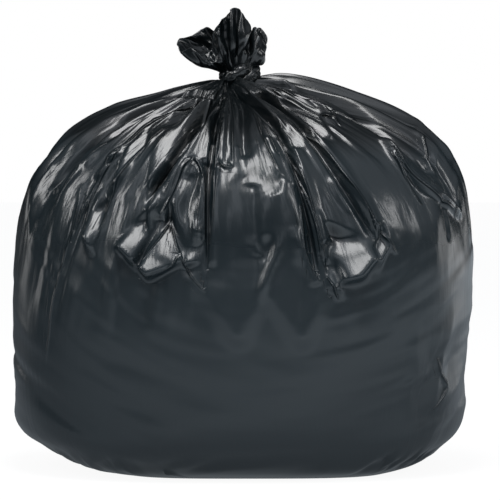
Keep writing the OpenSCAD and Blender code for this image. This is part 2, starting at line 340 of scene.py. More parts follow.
def crease(height, kind, depth, left, right, start, end, points):
    """Fold the film along a line of points; left and right are the widths of its flanks in millimetres."""
    if start == NECK:
        points = [(points[0][0], 1)] + points
    index, distance, hand, where = nearest(points, max(left, right))
    room = from_neck.reshape(-1)[index]
    width = np.minimum(np.where(hand < 0, left, right), room * NECK_WIDTH + LEAST_WIDTH)
    size = np.sign(depth) * np.minimum(abs(depth), room * NECK_DEPTH + LEAST_DEPTH)
    size = size * ease(where / start) * ease((1 - where) / end)
    profile = np.clip(1 - distance / width, 0, 1) ** POWER
    sign = {"valley": -1, "ridge": 1, "step": -0.5 * hand}[kind]
    height.reshape(-1)[index] += sign * size * profile


print("deepest fold 100 mm from the neck:", 100 * NECK_DEPTH + LEAST_DEPTH, "mm")

# %% [markdown]
# ## The folds of the crown
#
# These are the folds that the eye notices on the front: the deep valley that runs from the knot to the left, the
# two long ones to the right, and the ridges, pockets and short steps between them. Each row of the table is one
# crease: kind, depth in millimetres, width to its left and right, how much of its length it takes to grow and to
# fade, and its points as (bearing, share of the way up the film). NECK in place of the first share says that the
# crease comes straight out of the knot, and the function above adds the point there.

# %% Creases listed one by one
CREASES = [
    ("ridge", 4, 8.4, 8.4, NECK, 0.2, [(258.1, 0.863), (231.2, 0.837), (220.7, 0.797), (216.1, 0.758),
     (207.9, 0.716)]),
    ("valley", 6, 10.8, 10.8, NECK, 0.3, [(258.9, 0.857), (238.8, 0.816), (230.7, 0.771), (226.0, 0.728),
     (222.6, 0.690), (208.1, 0.659)]),
    ("ridge", 5, 8.4, 16.8, NECK, 0.3, [(260.7, 0.852), (245.4, 0.819), (237.3, 0.782), (234.8, 0.753),
     (230.1, 0.717), (225.3, 0.684), (221.0, 0.659)]),
    ("valley", 8, 9.6, 10.8, NECK, 0.25, [(263.2, 0.852), (254.8, 0.818), (250.5, 0.783), (248.5, 0.747),
     (246.3, 0.722)]),
    ("ridge", 4, 6, 8.4, NECK, 0.3, [(265.3, 0.846), (259.1, 0.809), (255.6, 0.777), (253.1, 0.740),
     (252.0, 0.714)]),
    ("valley", 4, 7.2, 9.6, 0.3, 0.3, [(234.5, 0.696), (236.1, 0.657), (236.3, 0.619)]),
    ("ridge", 5, 7.2, 7.2, 0.2, 0.2, [(234.1, 0.684), (230.7, 0.663), (228.8, 0.641), (226.9, 0.610)]),
    ("valley", 4, 7.2, 7.2, 0.2, 0.3, [(233.9, 0.653), (232.5, 0.609), (232.4, 0.558)]),
    ("ridge", 4, 6, 8.4, 0.2, 0.2, [(222.0, 0.670), (219.4, 0.642), (215.7, 0.620), (211.7, 0.588),
     (204.9, 0.565)]),
    ("ridge", 5, 7.2, 8.4, 0.2, 0.25, [(201.9, 0.646), (201.6, 0.608), (200.1, 0.571), (200.4, 0.526),
     (200.8, 0.484)]),
    ("ridge", 3, 6, 7.2, 0.2, 0.3, [(222.9, 0.603), (223.4, 0.553), (222.6, 0.511), (221.9, 0.458)]),
    ("valley", 19, 9.6, 15.6, NECK, 0.2, [(268.6, 0.874), (262.9, 0.806), (260.0, 0.760), (256.7, 0.719),
     (253.8, 0.677), (251.0, 0.640), (248.7, 0.603), (247.0, 0.562)]),
    ("ridge", 7, 7.2, 10.8, NECK, 0.12, [(266.7, 0.827), (263.6, 0.765), (261.1, 0.733), (258.7, 0.698),
     (255.6, 0.660), (252.3, 0.621), (250.2, 0.599), (249.4, 0.572), (247.2, 0.540)]),
    ("ridge", 5, 13.2, 6, 0.12, 0.3, [(259.0, 0.660), (257.0, 0.655), (255.1, 0.627), (253.4, 0.596),
     (250.1, 0.555)]),
    ("ridge", 6, 7.2, 6, 0.12, 0.2, [(259.2, 0.660), (261.3, 0.655), (262.4, 0.632), (262.7, 0.598),
     (262.7, 0.550), (263.0, 0.504), (262.8, 0.441)]),
    ("valley", 5, 15.6, 15.6, 0.2, 0.4, [(259.5, 0.637), (258.6, 0.589), (257.7, 0.537)]),
    ("valley", 13, 8.4, 6, NECK, 0.15, [(267.4, 0.852), (265.6, 0.765), (264.9, 0.702), (264.1, 0.648),
     (263.5, 0.582), (263.3, 0.515), (263.5, 0.463)]),
    ("ridge", 6, 4.8, 4.8, 0.1, 0.1, [(265.5, 0.642), (264.6, 0.591), (264.4, 0.531), (264.3, 0.473)]),
    ("step", -6, 6, 7.2, NECK, 0.05, [(269.3, 0.806), (267.7, 0.720), (266.4, 0.652)]),
    ("step", 7, 7.2, 7.2, NECK, 0.05, [(271.3, 0.806), (270.5, 0.725), (270.3, 0.678), (269.6, 0.644)]),
    ("step", 5, 9.6, 6, 0.1, 0.1, [(269.7, 0.646), (268.1, 0.641), (265.8, 0.654)]),
    ("valley", 7, 7.2, 9.6, NECK, 0.3, [(276.2, 0.821), (273.1, 0.732), (271.8, 0.678), (270.3, 0.606)]),
    ("ridge", 4, 7.2, 6, NECK, 0.2, [(277.9, 0.780), (277.8, 0.720), (278.2, 0.677), (278.8, 0.629),
     (279.5, 0.606)]),
    ("valley", 10, 9.6, 4.8, NECK, 0.1, [(279.8, 0.849), (280.7, 0.796), (281.4, 0.761), (282.8, 0.731),
     (282.5, 0.680), (282.4, 0.627), (282.5, 0.574), (283.1, 0.521), (284.4, 0.464)]),
    ("ridge", 6, 4.8, 15.6, NECK, 0.12, [(283.0, 0.796), (284.0, 0.735), (283.5, 0.685), (283.3, 0.630),
     (283.5, 0.577), (284.3, 0.521), (285.1, 0.479), (286.1, 0.448)]),
    ("ridge", 6, 13.2, 4.8, 0.25, 0.08, [(279.7, 0.540), (280.8, 0.504), (282.6, 0.476), (284.6, 0.450)]),
    ("valley", 9, 8.4, 4.2, NECK, 0.12, [(284.1, 0.853), (290.0, 0.820), (291.5, 0.776), (290.7, 0.720),
     (291.6, 0.667), (293.0, 0.623), (294.9, 0.578), (297.5, 0.542), (299.4, 0.511)]),
    ("ridge", 6, 3.6, 15.6, NECK, 0.12, [(293.1, 0.818), (293.4, 0.772), (292.3, 0.720), (293.2, 0.673),
     (294.9, 0.631), (296.5, 0.586), (299.4, 0.545), (302.2, 0.517), (306.0, 0.492)]),
    ("ridge", 3, 8.4, 4.8, 0.2, 0.2, [(291.7, 0.632), (291.1, 0.607), (292.4, 0.582), (294.7, 0.553)]),
    ("ridge", 5, 8.4, 6, NECK, 0.08, [(299.7, 0.849), (307.0, 0.800), (312.0, 0.785), (309.7, 0.763),
     (307.1, 0.739)]),
    ("valley", 6, 6, 7.2, NECK, 0.12, [(295.6, 0.838), (300.1, 0.798), (303.5, 0.771), (305.7, 0.746)]),
    ("ridge", 4, 4.8, 10.8, NECK, 0.1, [(293.0, 0.821), (296.6, 0.787), (299.8, 0.750), (307.2, 0.736)]),
    ("ridge", 4, 9.6, 4.8, NECK, 0.06, [(346.4, 0.876), (337.0, 0.850), (327.0, 0.806), (326.7, 0.777),
     (325.6, 0.753)]),
    ("valley", 6, 6, 7.2, NECK, 0.1, [(306.1, 0.862), (313.8, 0.813), (315.6, 0.777), (318.4, 0.749)]),
    ("valley", 13, 14.4, 15.6, NECK, 0.15, [(335.0, 0.835), (332.3, 0.784), (328.1, 0.740), (325.7, 0.696),
     (328.6, 0.651), (335.2, 0.629)]),
    ("ridge", 9, 10.8, 15.6, 0.1, 0.12, [(319.5, 0.708), (316.5, 0.663), (317.6, 0.630), (321.1, 0.602),
     (326.5, 0.583), (334.4, 0.564), (343.2, 0.547)]),
    ("ridge", 2, 7.2, 7.2, NECK, 0.1, [(356.2, 0.732), (348.8, 0.715), (343.3, 0.698), (344.1, 0.679),
     (340.2, 0.652), (335.2, 0.627)]),
    ("ridge", 1.5, 7.2, 7.2, 0.2, 0.3, [(356.0, 0.679), (355.4, 0.649), (344.8, 0.608), (340.9, 0.563),
     (341.6, 0.515)]),
    ("valley", 5, 7.2, 7.2, 0.2, 0.2, [(327.1, 0.581), (327.5, 0.548), (327.9, 0.512)]),
    ("valley", 6, 10.8, 8.4, 0.1, 0.15, [(251.6, 0.555), (249.5, 0.520), (247.5, 0.486), (246.9, 0.472)]),
    ("valley", 4, 6, 10.8, 0.2, 0.2, [(254.5, 0.549), (256.5, 0.513), (258.3, 0.481), (260.5, 0.458)]),
    ("ridge", 4, 4.8, 4.8, 0.2, 0.2, [(260.2, 0.534), (260.8, 0.521), (261.5, 0.515), (260.6, 0.505)]),
    ("ridge", 6, 7.2, 8.4, 0.5, 0.2, [(275.9, 0.540), (276.0, 0.518), (275.4, 0.497), (274.2, 0.474),
     (273.1, 0.450), (272.4, 0.425)]),
    ("valley", 4, 12, 9.6, 0.5, 0.2, [(273.5, 0.528), (273.7, 0.507), (272.8, 0.482)]),
    ("ridge", 4, 7.2, 7.2, 0.5, 0.3, [(271.0, 0.527), (271.4, 0.505), (273.2, 0.485)]),
    ("ridge", 5, 6, 7.2, 0.1, 0.06, [(284.5, 0.565), (285.7, 0.538), (286.0, 0.501), (286.5, 0.482),
     (288.2, 0.461), (290.3, 0.429)]),
    ("valley", 6, 8.4, 6, 0.15, 0.1, [(286.6, 0.516), (287.6, 0.483), (289.3, 0.452)]),
    ("ridge", 3, 14.4, 21.6, 0.4, 0.3, [(332.3, 0.442), (329.7, 0.398), (327.4, 0.370), (325.9, 0.335),
     (324.3, 0.288)]),
    ("ridge", 3.5, 14.4, 21.6, 0.4, 0.3, [(314.5, 0.409), (313.9, 0.373), (315.4, 0.345), (313.5, 0.321),
     (316.4, 0.274)]),
    ("step", -3, 14.4, 19.2, 0.3, 0.3, [(323.3, 0.367), (326.0, 0.345), (330.5, 0.329), (328.4, 0.310),
     (323.0, 0.280)]),
    ("ridge", 4.5, 18, 50.4, 0.15, 0.15, [(259.1, 0.472), (263.1, 0.441), (266.6, 0.406), (269.3, 0.379),
     (270.7, 0.404), (273.1, 0.430), (275.5, 0.422), (278.4, 0.398), (281.4, 0.379), (283.3, 0.407),
     (286.4, 0.440)]),
]

folds = np.zeros(base.shape[:2])
for row in CREASES:
    crease(folds, *row)
print("creases:", len(CREASES), "deepest fold:", round(-folds.min(), 1), "mm")

# %% [markdown]
# ## Flat facets that flash
#
# Between folds the film is stretched flat, and a flat piece flashes as a whole when it mirrors a lamp. A mirror
# does so when its normal lies halfway between the direction to the camera and the direction to the lamp. So each
# row of the table is a piece of film that mirrors the long panel overhead: its lift, the width in millimetres over
# which the film round it falls back, and its (bearing, share) corners. The film inside is laid in a plane with
# that halfway normal. Of the panel's length, the spot that needs the least turning counts. The fall is wide above
# a facet and narrow below it, so a facet has a sharp lower edge and runs softly into the film above.

# %% Facets listed one by one
FLASHES = [
    (0, 4, [(237.8, 0.727), (241.0, 0.693), (239.8, 0.649), (237.4, 0.624), (235.8, 0.593), (235.7, 0.634),
     (235.4, 0.678)]),
    (0, 4, [(253.3, 0.716), (251.2, 0.659), (247.5, 0.619), (246.6, 0.669), (247.3, 0.697)]),
    (3, 4, [(262.9, 0.736), (264.0, 0.698), (263.2, 0.652), (261.2, 0.657), (257.0, 0.655), (258.9, 0.692)]),
    (0, 4, [(293.2, 0.782), (298.0, 0.756), (299.9, 0.743), (297.8, 0.703), (293.6, 0.698), (293.3, 0.729)]),
    (1, 4, [(278.1, 0.734), (279.7, 0.726), (280.3, 0.700), (277.8, 0.700)]),
    (0, 4, [(270.3, 0.682), (270.9, 0.681), (270.3, 0.628), (269.1, 0.618)]),
    (0, 4, [(278.8, 0.651), (280.1, 0.648), (280.7, 0.613), (279.2, 0.618)]),
    (0, 4, [(284.3, 0.719), (286.5, 0.703), (286.6, 0.677), (284.0, 0.678)]),
    (0, 8, [(272.0, 0.654), (275.2, 0.658), (277.0, 0.645), (276.3, 0.616), (273.9, 0.608), (271.7, 0.614)]),
    (0, 8, [(275.0, 0.606), (277.3, 0.611), (276.4, 0.596), (274.5, 0.592)]),
    (1, 9, [(288.9, 0.519), (292.4, 0.510), (296.8, 0.501), (298.1, 0.485), (294.5, 0.461), (291.1, 0.456)]),
    (0, 5, [(301.5, 0.520), (302.5, 0.502), (300.4, 0.484), (300.1, 0.501)]),
    (0, 4, [(286.5, 0.476), (287.8, 0.467), (289.1, 0.443), (287.7, 0.446)]),
    (0, 6, [(253.8, 0.550), (255.4, 0.520), (257.4, 0.481), (253.9, 0.469), (250.1, 0.457), (248.5, 0.467)]),
    (0, 6, [(246.9, 0.539), (247.6, 0.516), (245.7, 0.476), (241.8, 0.494), (243.9, 0.521)]),
    (0, 6, [(232.8, 0.557), (233.2, 0.525), (232.4, 0.491), (230.4, 0.504), (230.3, 0.538)]),
    (0, 8, [(258.9, 0.487), (260.9, 0.495), (260.5, 0.482), (259.2, 0.479)]),
    (0, 3, [(260.4, 0.548), (261.3, 0.540), (261.2, 0.527), (260.3, 0.532)]),
    (0, 4, [(233.9, 0.686), (232.7, 0.666), (229.7, 0.654), (230.5, 0.669)]),
]
print("facets by hand:", len(FLASHES))

# %% Turn them to the overhead panel
OVERHEAD, OVERHEAD_WIDTH, OVERHEAD_LENGTH = (-0.05, -0.52, 2.2), 0.55, 1.56
FACET_RADIUS = 320      # a facet is a little domed, so its light fades towards its edges
FLUSH = 0.35            # a facet is lifted by this share of the depth to which its deepest corner would sink
FALL_BESIDE, FALL_LEAN = 1.25, 0.85     # times the fall: beside a facet, and how much more above and less below
LEAST_FACING = 0.3      # film that is turned further away from a facet than this takes no part in it
SPOTS_REACH, SPOTS = 0.4, 9     # how far from the panel's middle, as a share of its length, and how many
eye = np.array(camera.location) / MM
spots = np.array([(OVERHEAD[0], OVERHEAD[1] + OVERHEAD_LENGTH * share, OVERHEAD[2])
                  for share in np.linspace(-SPOTS_REACH, SPOTS_REACH, SPOTS)]) / MM


def flat_facet(height, lift, fall, corners):
    """Lay the film inside a convex ring of corners in one plane, and return how far each cell belongs to it."""
    places = np.array(corners)
    ring = smooth_body(places[:, 0], places[:, 1] * SPANS)
    centre = ring.mean(0)
    facing = unit(on_film(corners, 9)[1].mean(0))
    right = unit(np.cross(facing, (0, 0, -1)))
    axes = np.stack([right, np.cross(facing, right)], -1)
    halfway = unit(unit(eye - centre) + unit(spots - centre))
    normal = halfway[np.argmax(halfway @ facing)]
    sunk = ((centre - ring) @ normal).min() / (facing @ normal)
    lift -= FLUSH * sunk
    corner, cell = (ring - centre) @ axes, (base - centre) @ axes
    inner = np.full(base.shape[:2], FAR)
    turn = np.sign(np.cross(corner, np.roll(corner, -1, 0)).sum())
    for a, b in zip(corner, np.roll(corner, -1, 0)):
        along_edge = unit(b - a)
        offset = cell - a
        edge_fall = fall * (FALL_BESIDE - FALL_LEAN * turn * along_edge[0])
        beyond = turn * (along_edge[0] * offset[..., 1] - along_edge[1] * offset[..., 0])
        inner = np.minimum(inner, beyond / edge_fall)
    member = ease(1 + inner) * (outward @ facing > LEAST_FACING)
    plane = ((centre + lift * facing - base) @ normal) / np.maximum(outward @ normal, LEAST_FACING)
    plane -= (cell ** 2).sum(-1) / (2 * FACET_RADIUS)
    height += (plane - height) * member
    return member


flashing = np.zeros(base.shape[:2])
for row in FLASHES:
    flashing = np.maximum(flashing, flat_facet(folds, *row))
print("cells that flash:", int((flashing > 0.5).sum()))

# %% [markdown]
# ## Pleats all the way round
#
# On the sides and the back the gathered film makes pleats by itself. The large ones lie in the valleys of the CAD
# model, with the same depths. Each has a sharp valley at both sides and a rounded crest. Smaller pleats, spread by
# a random generator with a fixed seed, ride on them. On the front the listed creases take over, and only the small
# pleats are left. Towards the neck all pleats get narrower together, so their depth shrinks with the distance from
# it.

# %% Pleats
CROWN_FROM, CROWN_OVER = 0.45, 0.3      # height shares over which taut film becomes gathered film
FRONT_FROM, FRONT_TO, FRONT_BLEND = 206, 335, 8     # flow numbers of the front, where the creases are listed
PLEAT_DEPTH, PLEAT_FADE = 19, 0.24
FOLD_SINK, FOLD_ROOM = 0.8, 0.26        # share of a pleat that goes inwards, and its most depth near the neck


def pleat_profile(valleys, lean):
    """For sorted valley flows: the pleat each column is in, the share of the way across it, and its bulge."""
    closed = np.append(valleys, valleys[0] + 360)
    wrapped = np.where(flow < valleys[0], flow + 360, flow)
    k = np.clip(np.searchsorted(closed, wrapped, side="right") - 1, 0, len(valleys) - 1)
    t = (wrapped - closed[k]) / (closed[k + 1] - closed[k])
    crest = lean[k]
    bent = np.where(t < crest, 0.5 * t / crest, 0.5 + 0.5 * (t - crest) / (1 - crest))
    return k, (k + 1) % len(valleys), t, np.sin(np.pi * bent) ** 0.7


crown = ease((height_share - CROWN_FROM) / CROWN_OVER)
on_front = ease((flow - FRONT_FROM) / FRONT_BLEND) * ease((FRONT_TO - flow) / FRONT_BLEND)
room = np.maximum(from_neck - NECK_RADIUS, 0)

flow_turned = ease((GUIDE_LEVELS[FLOW_LEVEL] - TURN_START) / TURN_LENGTH)
large_valleys = np.array([(mix(lower, at_neck, flow_turned), share, end)
                          for at_neck, lower, share, end in SIDE_VALLEYS])
k, after, t, bulge = pleat_profile(large_valleys[:, 0], np.full(len(large_valleys), 0.5))
share, end = (mix(large_valleys[k, what], large_valleys[after, what], t) for what in (1, 2))
depth = np.minimum(PLEAT_DEPTH * share * ease((height_share - end) / PLEAT_FADE), room * FOLD_ROOM)
pleats = depth * (bulge - FOLD_SINK) * (1 - on_front)
print("large pleats:", len(SIDE_VALLEYS), "deepest:", round(-pleats.min(), 1), "mm")

# %% Small pleats
SMALL_PLEATS = 74
SMALL_FADE, SMALL_ROOM, SMALL_SINK, SMALL_ON_FRONT = 0.22, 0.12, 0.75, 0.25
random = np.random.default_rng(7)
small_valleys = np.sort((np.arange(SMALL_PLEATS) + random.uniform(0.1, 0.9, SMALL_PLEATS)) * 360 / SMALL_PLEATS)
small_ends = random.uniform(0.45, 0.8, SMALL_PLEATS)
small_depths = random.uniform(1, 4.5, SMALL_PLEATS)
k, after, t, bulge = pleat_profile(small_valleys, random.uniform(0.25, 0.75, SMALL_PLEATS))
depth = mix(small_depths[k], small_depths[after], t)
depth = depth * ease((height_share - mix(small_ends[k], small_ends[after], t)) / SMALL_FADE)
small_pleats = np.minimum(depth, room * SMALL_ROOM) * (bulge - SMALL_SINK)
pleats += small_pleats * mix(1, SMALL_ON_FRONT, on_front) * (1 - flashing)
print("small pleats:", SMALL_PLEATS, "deepest pleat now:", round(-pleats.min(), 1), "mm")

# %% [markdown]
# ## Flat facets between the folds
#
# Film bends easily but hardly stretches, so between two folds it lies in flat facets, and it is the facets that
# flash when they catch a lamp. Random heights on a jittered grid, joined by flat triangles, give such facets. On
# the crown they are drawn out along the folds. On the lower body they hang in shallow arcs, because the filling
# drags the film down in the middle. Each pattern of the crown says its height, how many facets go round the bag,
# how long one is up the film, and its seed. One patch in the middle of the front is crumpled more finely.

# %% The facet function
FACET_ROWS, JITTER = 40, 0.32


def facets(across, along_film, count, seed):
    """Heights from -1 to 1 made of flat triangles; across runs from 0 to count once round."""
    random = np.random.default_rng(seed)
    shift = random.uniform(-JITTER, JITTER, (count, FACET_ROWS, 2))
    level = random.uniform(-1, 1, (count, FACET_ROWS))
    i0, j0 = np.floor(across).astype(int), np.floor(along_film).astype(int)
    result = np.zeros(across.shape)
    for di, dj, half in np.ndindex(3, 3, 2):
        i, j = i0 + di - 1, j0 + dj - 1
        corners = ((0, 0), (1, 0), (1, 1)) if half else ((0, 0), (1, 1), (0, 1))
        px, py, value = [], [], []
        for a, b in corners:
            ci, cj = (i + a) % count, (j + b) % FACET_ROWS
            px.append(i + a + shift[ci, cj, 0] - across)
            py.append(j + b + shift[ci, cj, 1] - along_film)
            value.append(level[ci, cj])
        area = [px[1] * py[2] - px[2] * py[1], px[2] * py[0] - px[0] * py[2], px[0] * py[1] - px[1] * py[0]]
        total = area[0] + area[1] + area[2]
        inside = (np.minimum(np.minimum(area[0], area[1]), area[2]) * np.sign(total)) >= 0
        found = (area[0] * value[0] + area[1] * value[1] + area[2] * value[2]) / np.where(total == 0, 1, total)
        result = np.where(inside, found, result)
    return np.clip(result, -1, 1)


def film_facets(height, count, length, seed):
    """Facets up to height in millimetres, count of them round the bag, each length millimetres up the film."""
    return height * facets(turn_share * count, film_run / length, count, seed)


turn_share = flow / 360
GIRTH = 1.676           # metres: twice the width of the sack laid flat
print("a facet of 34 round the bag is about", round(GIRTH / 34 / MM), "mm wide")

# %% Facets on the crown
NECK_REACH = 170        # millimetres from the neck over which the facets grow
CALM_FROM, CALM_OVER = 25, 60       # and the finer ones start later
FACETS_FROM, FACETS_OVER, RAGGED = 0.42, 0.2, 0.07      # height shares; RAGGED makes their lower end uneven
TOP_FROM, TOP_OVER = 0.4, 0.08
near = np.clip(from_neck / NECK_REACH, 0, 1)
fold_reach = RAGGED * facets(turn_share * 26, np.full_like(flow, 3), 26, 60)
faceted = ease((height_share - FACETS_FROM - fold_reach) / FACETS_OVER)
calm = ease((from_neck - CALM_FROM) / CALM_OVER)
on_top = ease((height_share - TOP_FROM) / TOP_OVER)
large, medium = film_facets(4.6, 34, 105, 61), film_facets(1.3, 76, 48, 62)
crown_facets = (large * mix(1, 0.5, on_front) + calm * medium - 2) * near * faceted * (1 - 0.9 * flashing)
crown_facets += film_facets(0.35, 150, 26, 63) * calm * near * np.maximum(faceted, 1.3 * flashing * on_top)
print("facets on the crown:", round(crown_facets.min(), 1), "to", round(crown_facets.max(), 1), "mm")

# %% Narrow drapes and a crumpled patch on the front
DRAPES_FROM, DRAPES_OVER = 0.36, 0.12
DRAPES_END, DRAPES_BLEND = 300, 14      # flow numbers: there are none to the right of this
CRUMPLED = (275, 0.65, 9, 0.11)         # bearing and height on the film of a crumpled patch, and its reach
drapes = film_facets(3.0, 96, 120, 75) + film_facets(1.3, 190, 70, 76)
drape_rise, left_part = ease((height_share - DRAPES_FROM) / DRAPES_OVER), ease((DRAPES_END - flow) / DRAPES_BLEND)
crown_facets += drapes * on_front * drape_rise * near * (1 - 0.8 * flashing) * left_part
patch_place = np.hypot((bearing - CRUMPLED[0]) / CRUMPLED[2], (place / SPANS - CRUMPLED[1]) / CRUMPLED[3])
patch = ease(1.6 - 1.6 * patch_place)
crown_facets += patch * mix(1, 0.3, flashing) * (film_facets(2.4, 84, 27, 69) + film_facets(1.1, 200, 10, 70))
gathers = -0.04 * room * np.abs(film_facets(1, 90, 260, 64)) * ease((NECK_REACH - from_neck) / 90)
print("with the front's:", round(crown_facets.min(), 1), "to", round(crown_facets.max(), 1), "mm")

# %% [markdown]
# ## The lower body
#
# Below the crown the film is taut over soft refuse, with the CAD model's broad dents and shallow facets in
# arcs. Small puckers run along the bottom seam. The two ends of that seam stand out as ears at the left and
# right corners, and the film round the right ear is crumpled.

# %% Drag lines in arcs
ARC_CENTRE = 460        # height of the point round which the drag lines bend
DRAGS_ROUND, STILL, STILL_BLEND = 64, 12, 20    # the middle of each side, in degrees of arc, is dragged less
arc_radius = np.hypot(base[..., 0], base[..., 2] - ARC_CENTRE)
arc_angle = np.degrees(np.arctan2(base[..., 0], ARC_CENTRE - base[..., 2] + 1))
side_of_bag = np.where(base[..., 1] < 0, 0.25, 0.75) * DRAGS_ROUND
lower = (1 - crown) * ease(base[..., 2] / 60)
edge = ease((np.abs(arc_angle) - STILL) / STILL_BLEND)
drags = (1.3 * facets(side_of_bag + arc_radius / 21, arc_angle / 13 + 20, DRAGS_ROUND, 65)
         + 1.0 * facets(side_of_bag + arc_radius / 9, arc_angle / 8 + 20, DRAGS_ROUND, 74))
drags = drags * lower * mix(0.3, 1, edge)
print("drags:", round(drags.min(), 1), "to", round(drags.max(), 1), "mm")

# %% Dents, puckers and ears
DENT_DEPTH, SEAM_HEIGHT, EAR_DEPTH, EAR_ANGLE = 5, 18, 9, 24
RIGHT_EAR, RIGHT_EAR_REACH = (335, 110), (32, 105)      # its bearing and height, and how far its crumpling goes
b, u = np.radians(bearing), np.radians(place)
dents = DENT_DEPTH * ease(place / 2) * ease((SPANS - place) / 4)
dents = dents * (0.5 * np.sin(3 * b + 40 * u) + 0.3 * np.sin(5 * b - 75 * u + np.radians(60)) - 0.2)
seam_band = ease(1 - np.abs(base[..., 2] - SEAM_HEIGHT) / SEAM_HEIGHT)
puckers = film_facets(3.6, 70, 22, 67) * seam_band
corner = np.minimum(bearing % 180, 180 - bearing % 180)
ears = EAR_DEPTH * np.clip(1 - corner / EAR_ANGLE, 0, 1) ** 1.5 * ease(1 - np.abs(base[..., 2] / CORNER_HEIGHT - 1))
right_ear = (ease(1 - np.abs(bearing - RIGHT_EAR[0]) / RIGHT_EAR_REACH[0])
             * ease(1 - np.abs(base[..., 2] - RIGHT_EAR[1]) / RIGHT_EAR_REACH[1]))
crumpled_ear = film_facets(6, 30, 48, 68) * right_ear
print("puckers:", round(puckers.min(), 1), "to", round(puckers.max(), 1), "mm, ears:", round(ears.max(), 1), "mm")

# %% [markdown]
# ## Fine lines by distance
#
# A film crease can be a fraction of a millimetre wide, far finer than any cell. So the mesh carries a number
# instead: the signed distance to the nearest fine line. A distance changes evenly across a cell, so the material
# can draw a sharp line from it that a mesh can't hold. Between two lines its sign can jump, which would draw a
# line that isn't there. So a second number says how far a line counts: it fades away from it and to its ends.

# %% Fine lines listed one by one
LINES = [
    [(259.5, 1), (259.5, 0.852), (234.2, 0.782), (224.1, 0.698), (215.9, 0.610), (213.7, 0.529)],
    [(252.1, 1), (252.1, 0.823), (237.4, 0.739), (230.1, 0.657), (226.4, 0.565), (224.2, 0.498)],
    [(250.8, 1), (250.8, 0.790), (242.4, 0.702), (237.2, 0.632), (234.8, 0.553), (233.0, 0.488)],
    [(232.4, 0.677), (228.1, 0.615), (225.6, 0.555)],
    [(230.4, 0.648), (227.7, 0.586), (227.7, 0.523)],
    [(223.6, 0.572), (223.5, 0.510), (221.8, 0.455), (220.2, 0.417), (219.2, 0.387), (217.3, 0.340)],
    [(260.1, 1), (260.1, 0.765), (256.4, 0.712), (252.8, 0.667), (249.2, 0.624), (247.5, 0.586)],
    [(259.8, 0.660), (261.6, 0.645), (262.8, 0.612), (262.7, 0.531), (263.4, 0.471)],
    [(258.7, 0.659), (256.7, 0.645), (254.5, 0.599), (251.3, 0.551)],
    [(266.3, 0.749), (265.9, 0.677), (265.1, 0.601), (264.0, 0.515), (263.5, 0.439)],
    [(268.9, 1), (268.9, 0.791), (267.4, 0.719), (266.6, 0.654)],
    [(271.0, 1), (271.0, 0.791), (270.3, 0.720), (269.6, 0.646)],
    [(266.6, 0.654), (267.9, 0.644), (269.6, 0.644)],
    [(277.6, 1), (277.6, 0.782), (276.9, 0.702), (278.4, 0.620)],
    [(279.7, 0.748), (281.3, 0.677), (282.2, 0.611), (283.3, 0.542), (284.8, 0.468)],
    [(280.8, 0.738), (282.6, 0.672), (283.5, 0.601), (284.6, 0.532), (286.5, 0.472)],
    [(281.4, 0.582), (281.6, 0.503), (284.5, 0.454)],
    [(286.6, 0.461), (288.0, 0.448), (289.8, 0.429)],
    [(289.1, 0.746), (292.3, 0.683), (294.8, 0.625), (298.4, 0.563), (300.8, 0.516)],
    [(299.1, 0.548), (302.1, 0.522), (305.7, 0.496)],
    [(318.1, 0.696), (317.0, 0.630), (325.1, 0.580), (337.1, 0.553)],
    [(315.2, 0.669), (315.6, 0.606), (317.7, 0.566)],
    [(301.4, 1), (301.4, 0.785), (307.0, 0.759), (306.9, 0.727)],
    [(315.0, 1), (315.0, 0.799), (319.9, 0.772), (320.6, 0.745)],
    [(342.6, 0.692), (337.9, 0.662), (335.2, 0.629)],
    [(254.4, 0.553), (251.3, 0.510), (247.6, 0.472)],
    [(247.6, 0.472), (250.1, 0.457), (255.7, 0.474), (257.0, 0.493)],
    [(253.9, 0.552), (256.5, 0.504), (259.9, 0.463), (263.5, 0.437)],
    [(324.4, 0.364), (326.6, 0.345), (331.8, 0.329), (329.0, 0.310), (323.5, 0.280)],
    [(335.0, 0.607), (335.7, 0.557), (339.2, 0.509)],
]
print("fine lines:", len(LINES))

# %% Distance to the fine lines
LINE_REACH = 9          # millimetres
LINE_START, LINE_END = 0.12, 0.2        # shares of a line over which it grows and fades
line_distance = np.full(base.shape[0] * base.shape[1], float(LINE_REACH))
line_strength = np.zeros(len(line_distance))
for points in LINES:
    index, distance, hand, where = nearest(points, LINE_REACH)
    closer = distance < np.abs(line_distance[index])
    index, distance = index[closer], distance[closer]
    line_distance[index] = distance * hand[closer]
    ends = ease(where[closer] / LINE_START) * ease((1 - where[closer]) / LINE_END)
    line_strength[index] = ends * ease(2 - distance / (LINE_REACH / 2))
print("cells beside a fine line:", int((line_strength > 0.1).sum()))

# %% [markdown]
# ## From heights to a mesh
#
# All the heights are added along the film's outward direction. One pass of averaging takes the stair-steps off
# folds that cross the grid on the slant. The foot is flat on the floor, and both ends are closed by one face: the
# foot's is the contact patch, the other is hidden inside the knot. The UV map is the film laid flat, in metres.
# The mesh also carries how far the film belongs to the gathered crown, and how far its colour goes towards black:
# near the knot, where the film lies in several layers, and as painted shade over the crown, most where it faces up,
# and in its deep folds.

# %% All heights together
def averaged(values):
    """Each cell's value, mixed half and half with the mean of its four neighbours."""
    around = (np.roll(values, 1, 1) + np.roll(values, -1, 1)) / 2
    above = np.concatenate([values[:1], values[:-1]])
    below = np.concatenate([values[1:], values[-1:]])
    return mix(values, (around + (above + below) / 2) / 2, 0.5)


soft = averaged(crown_facets + drags + puckers + crumpled_ear)
soft = soft + dents
height = averaged(folds) + pleats + gathers + soft + ears
skin = base + outward * height[..., None]
skin[0] = base[0]
skin[..., 2] = np.maximum(skin[..., 2], 0)
print("heights:", round(height.min(), 1), "to", round(height.max(), 1), "mm")

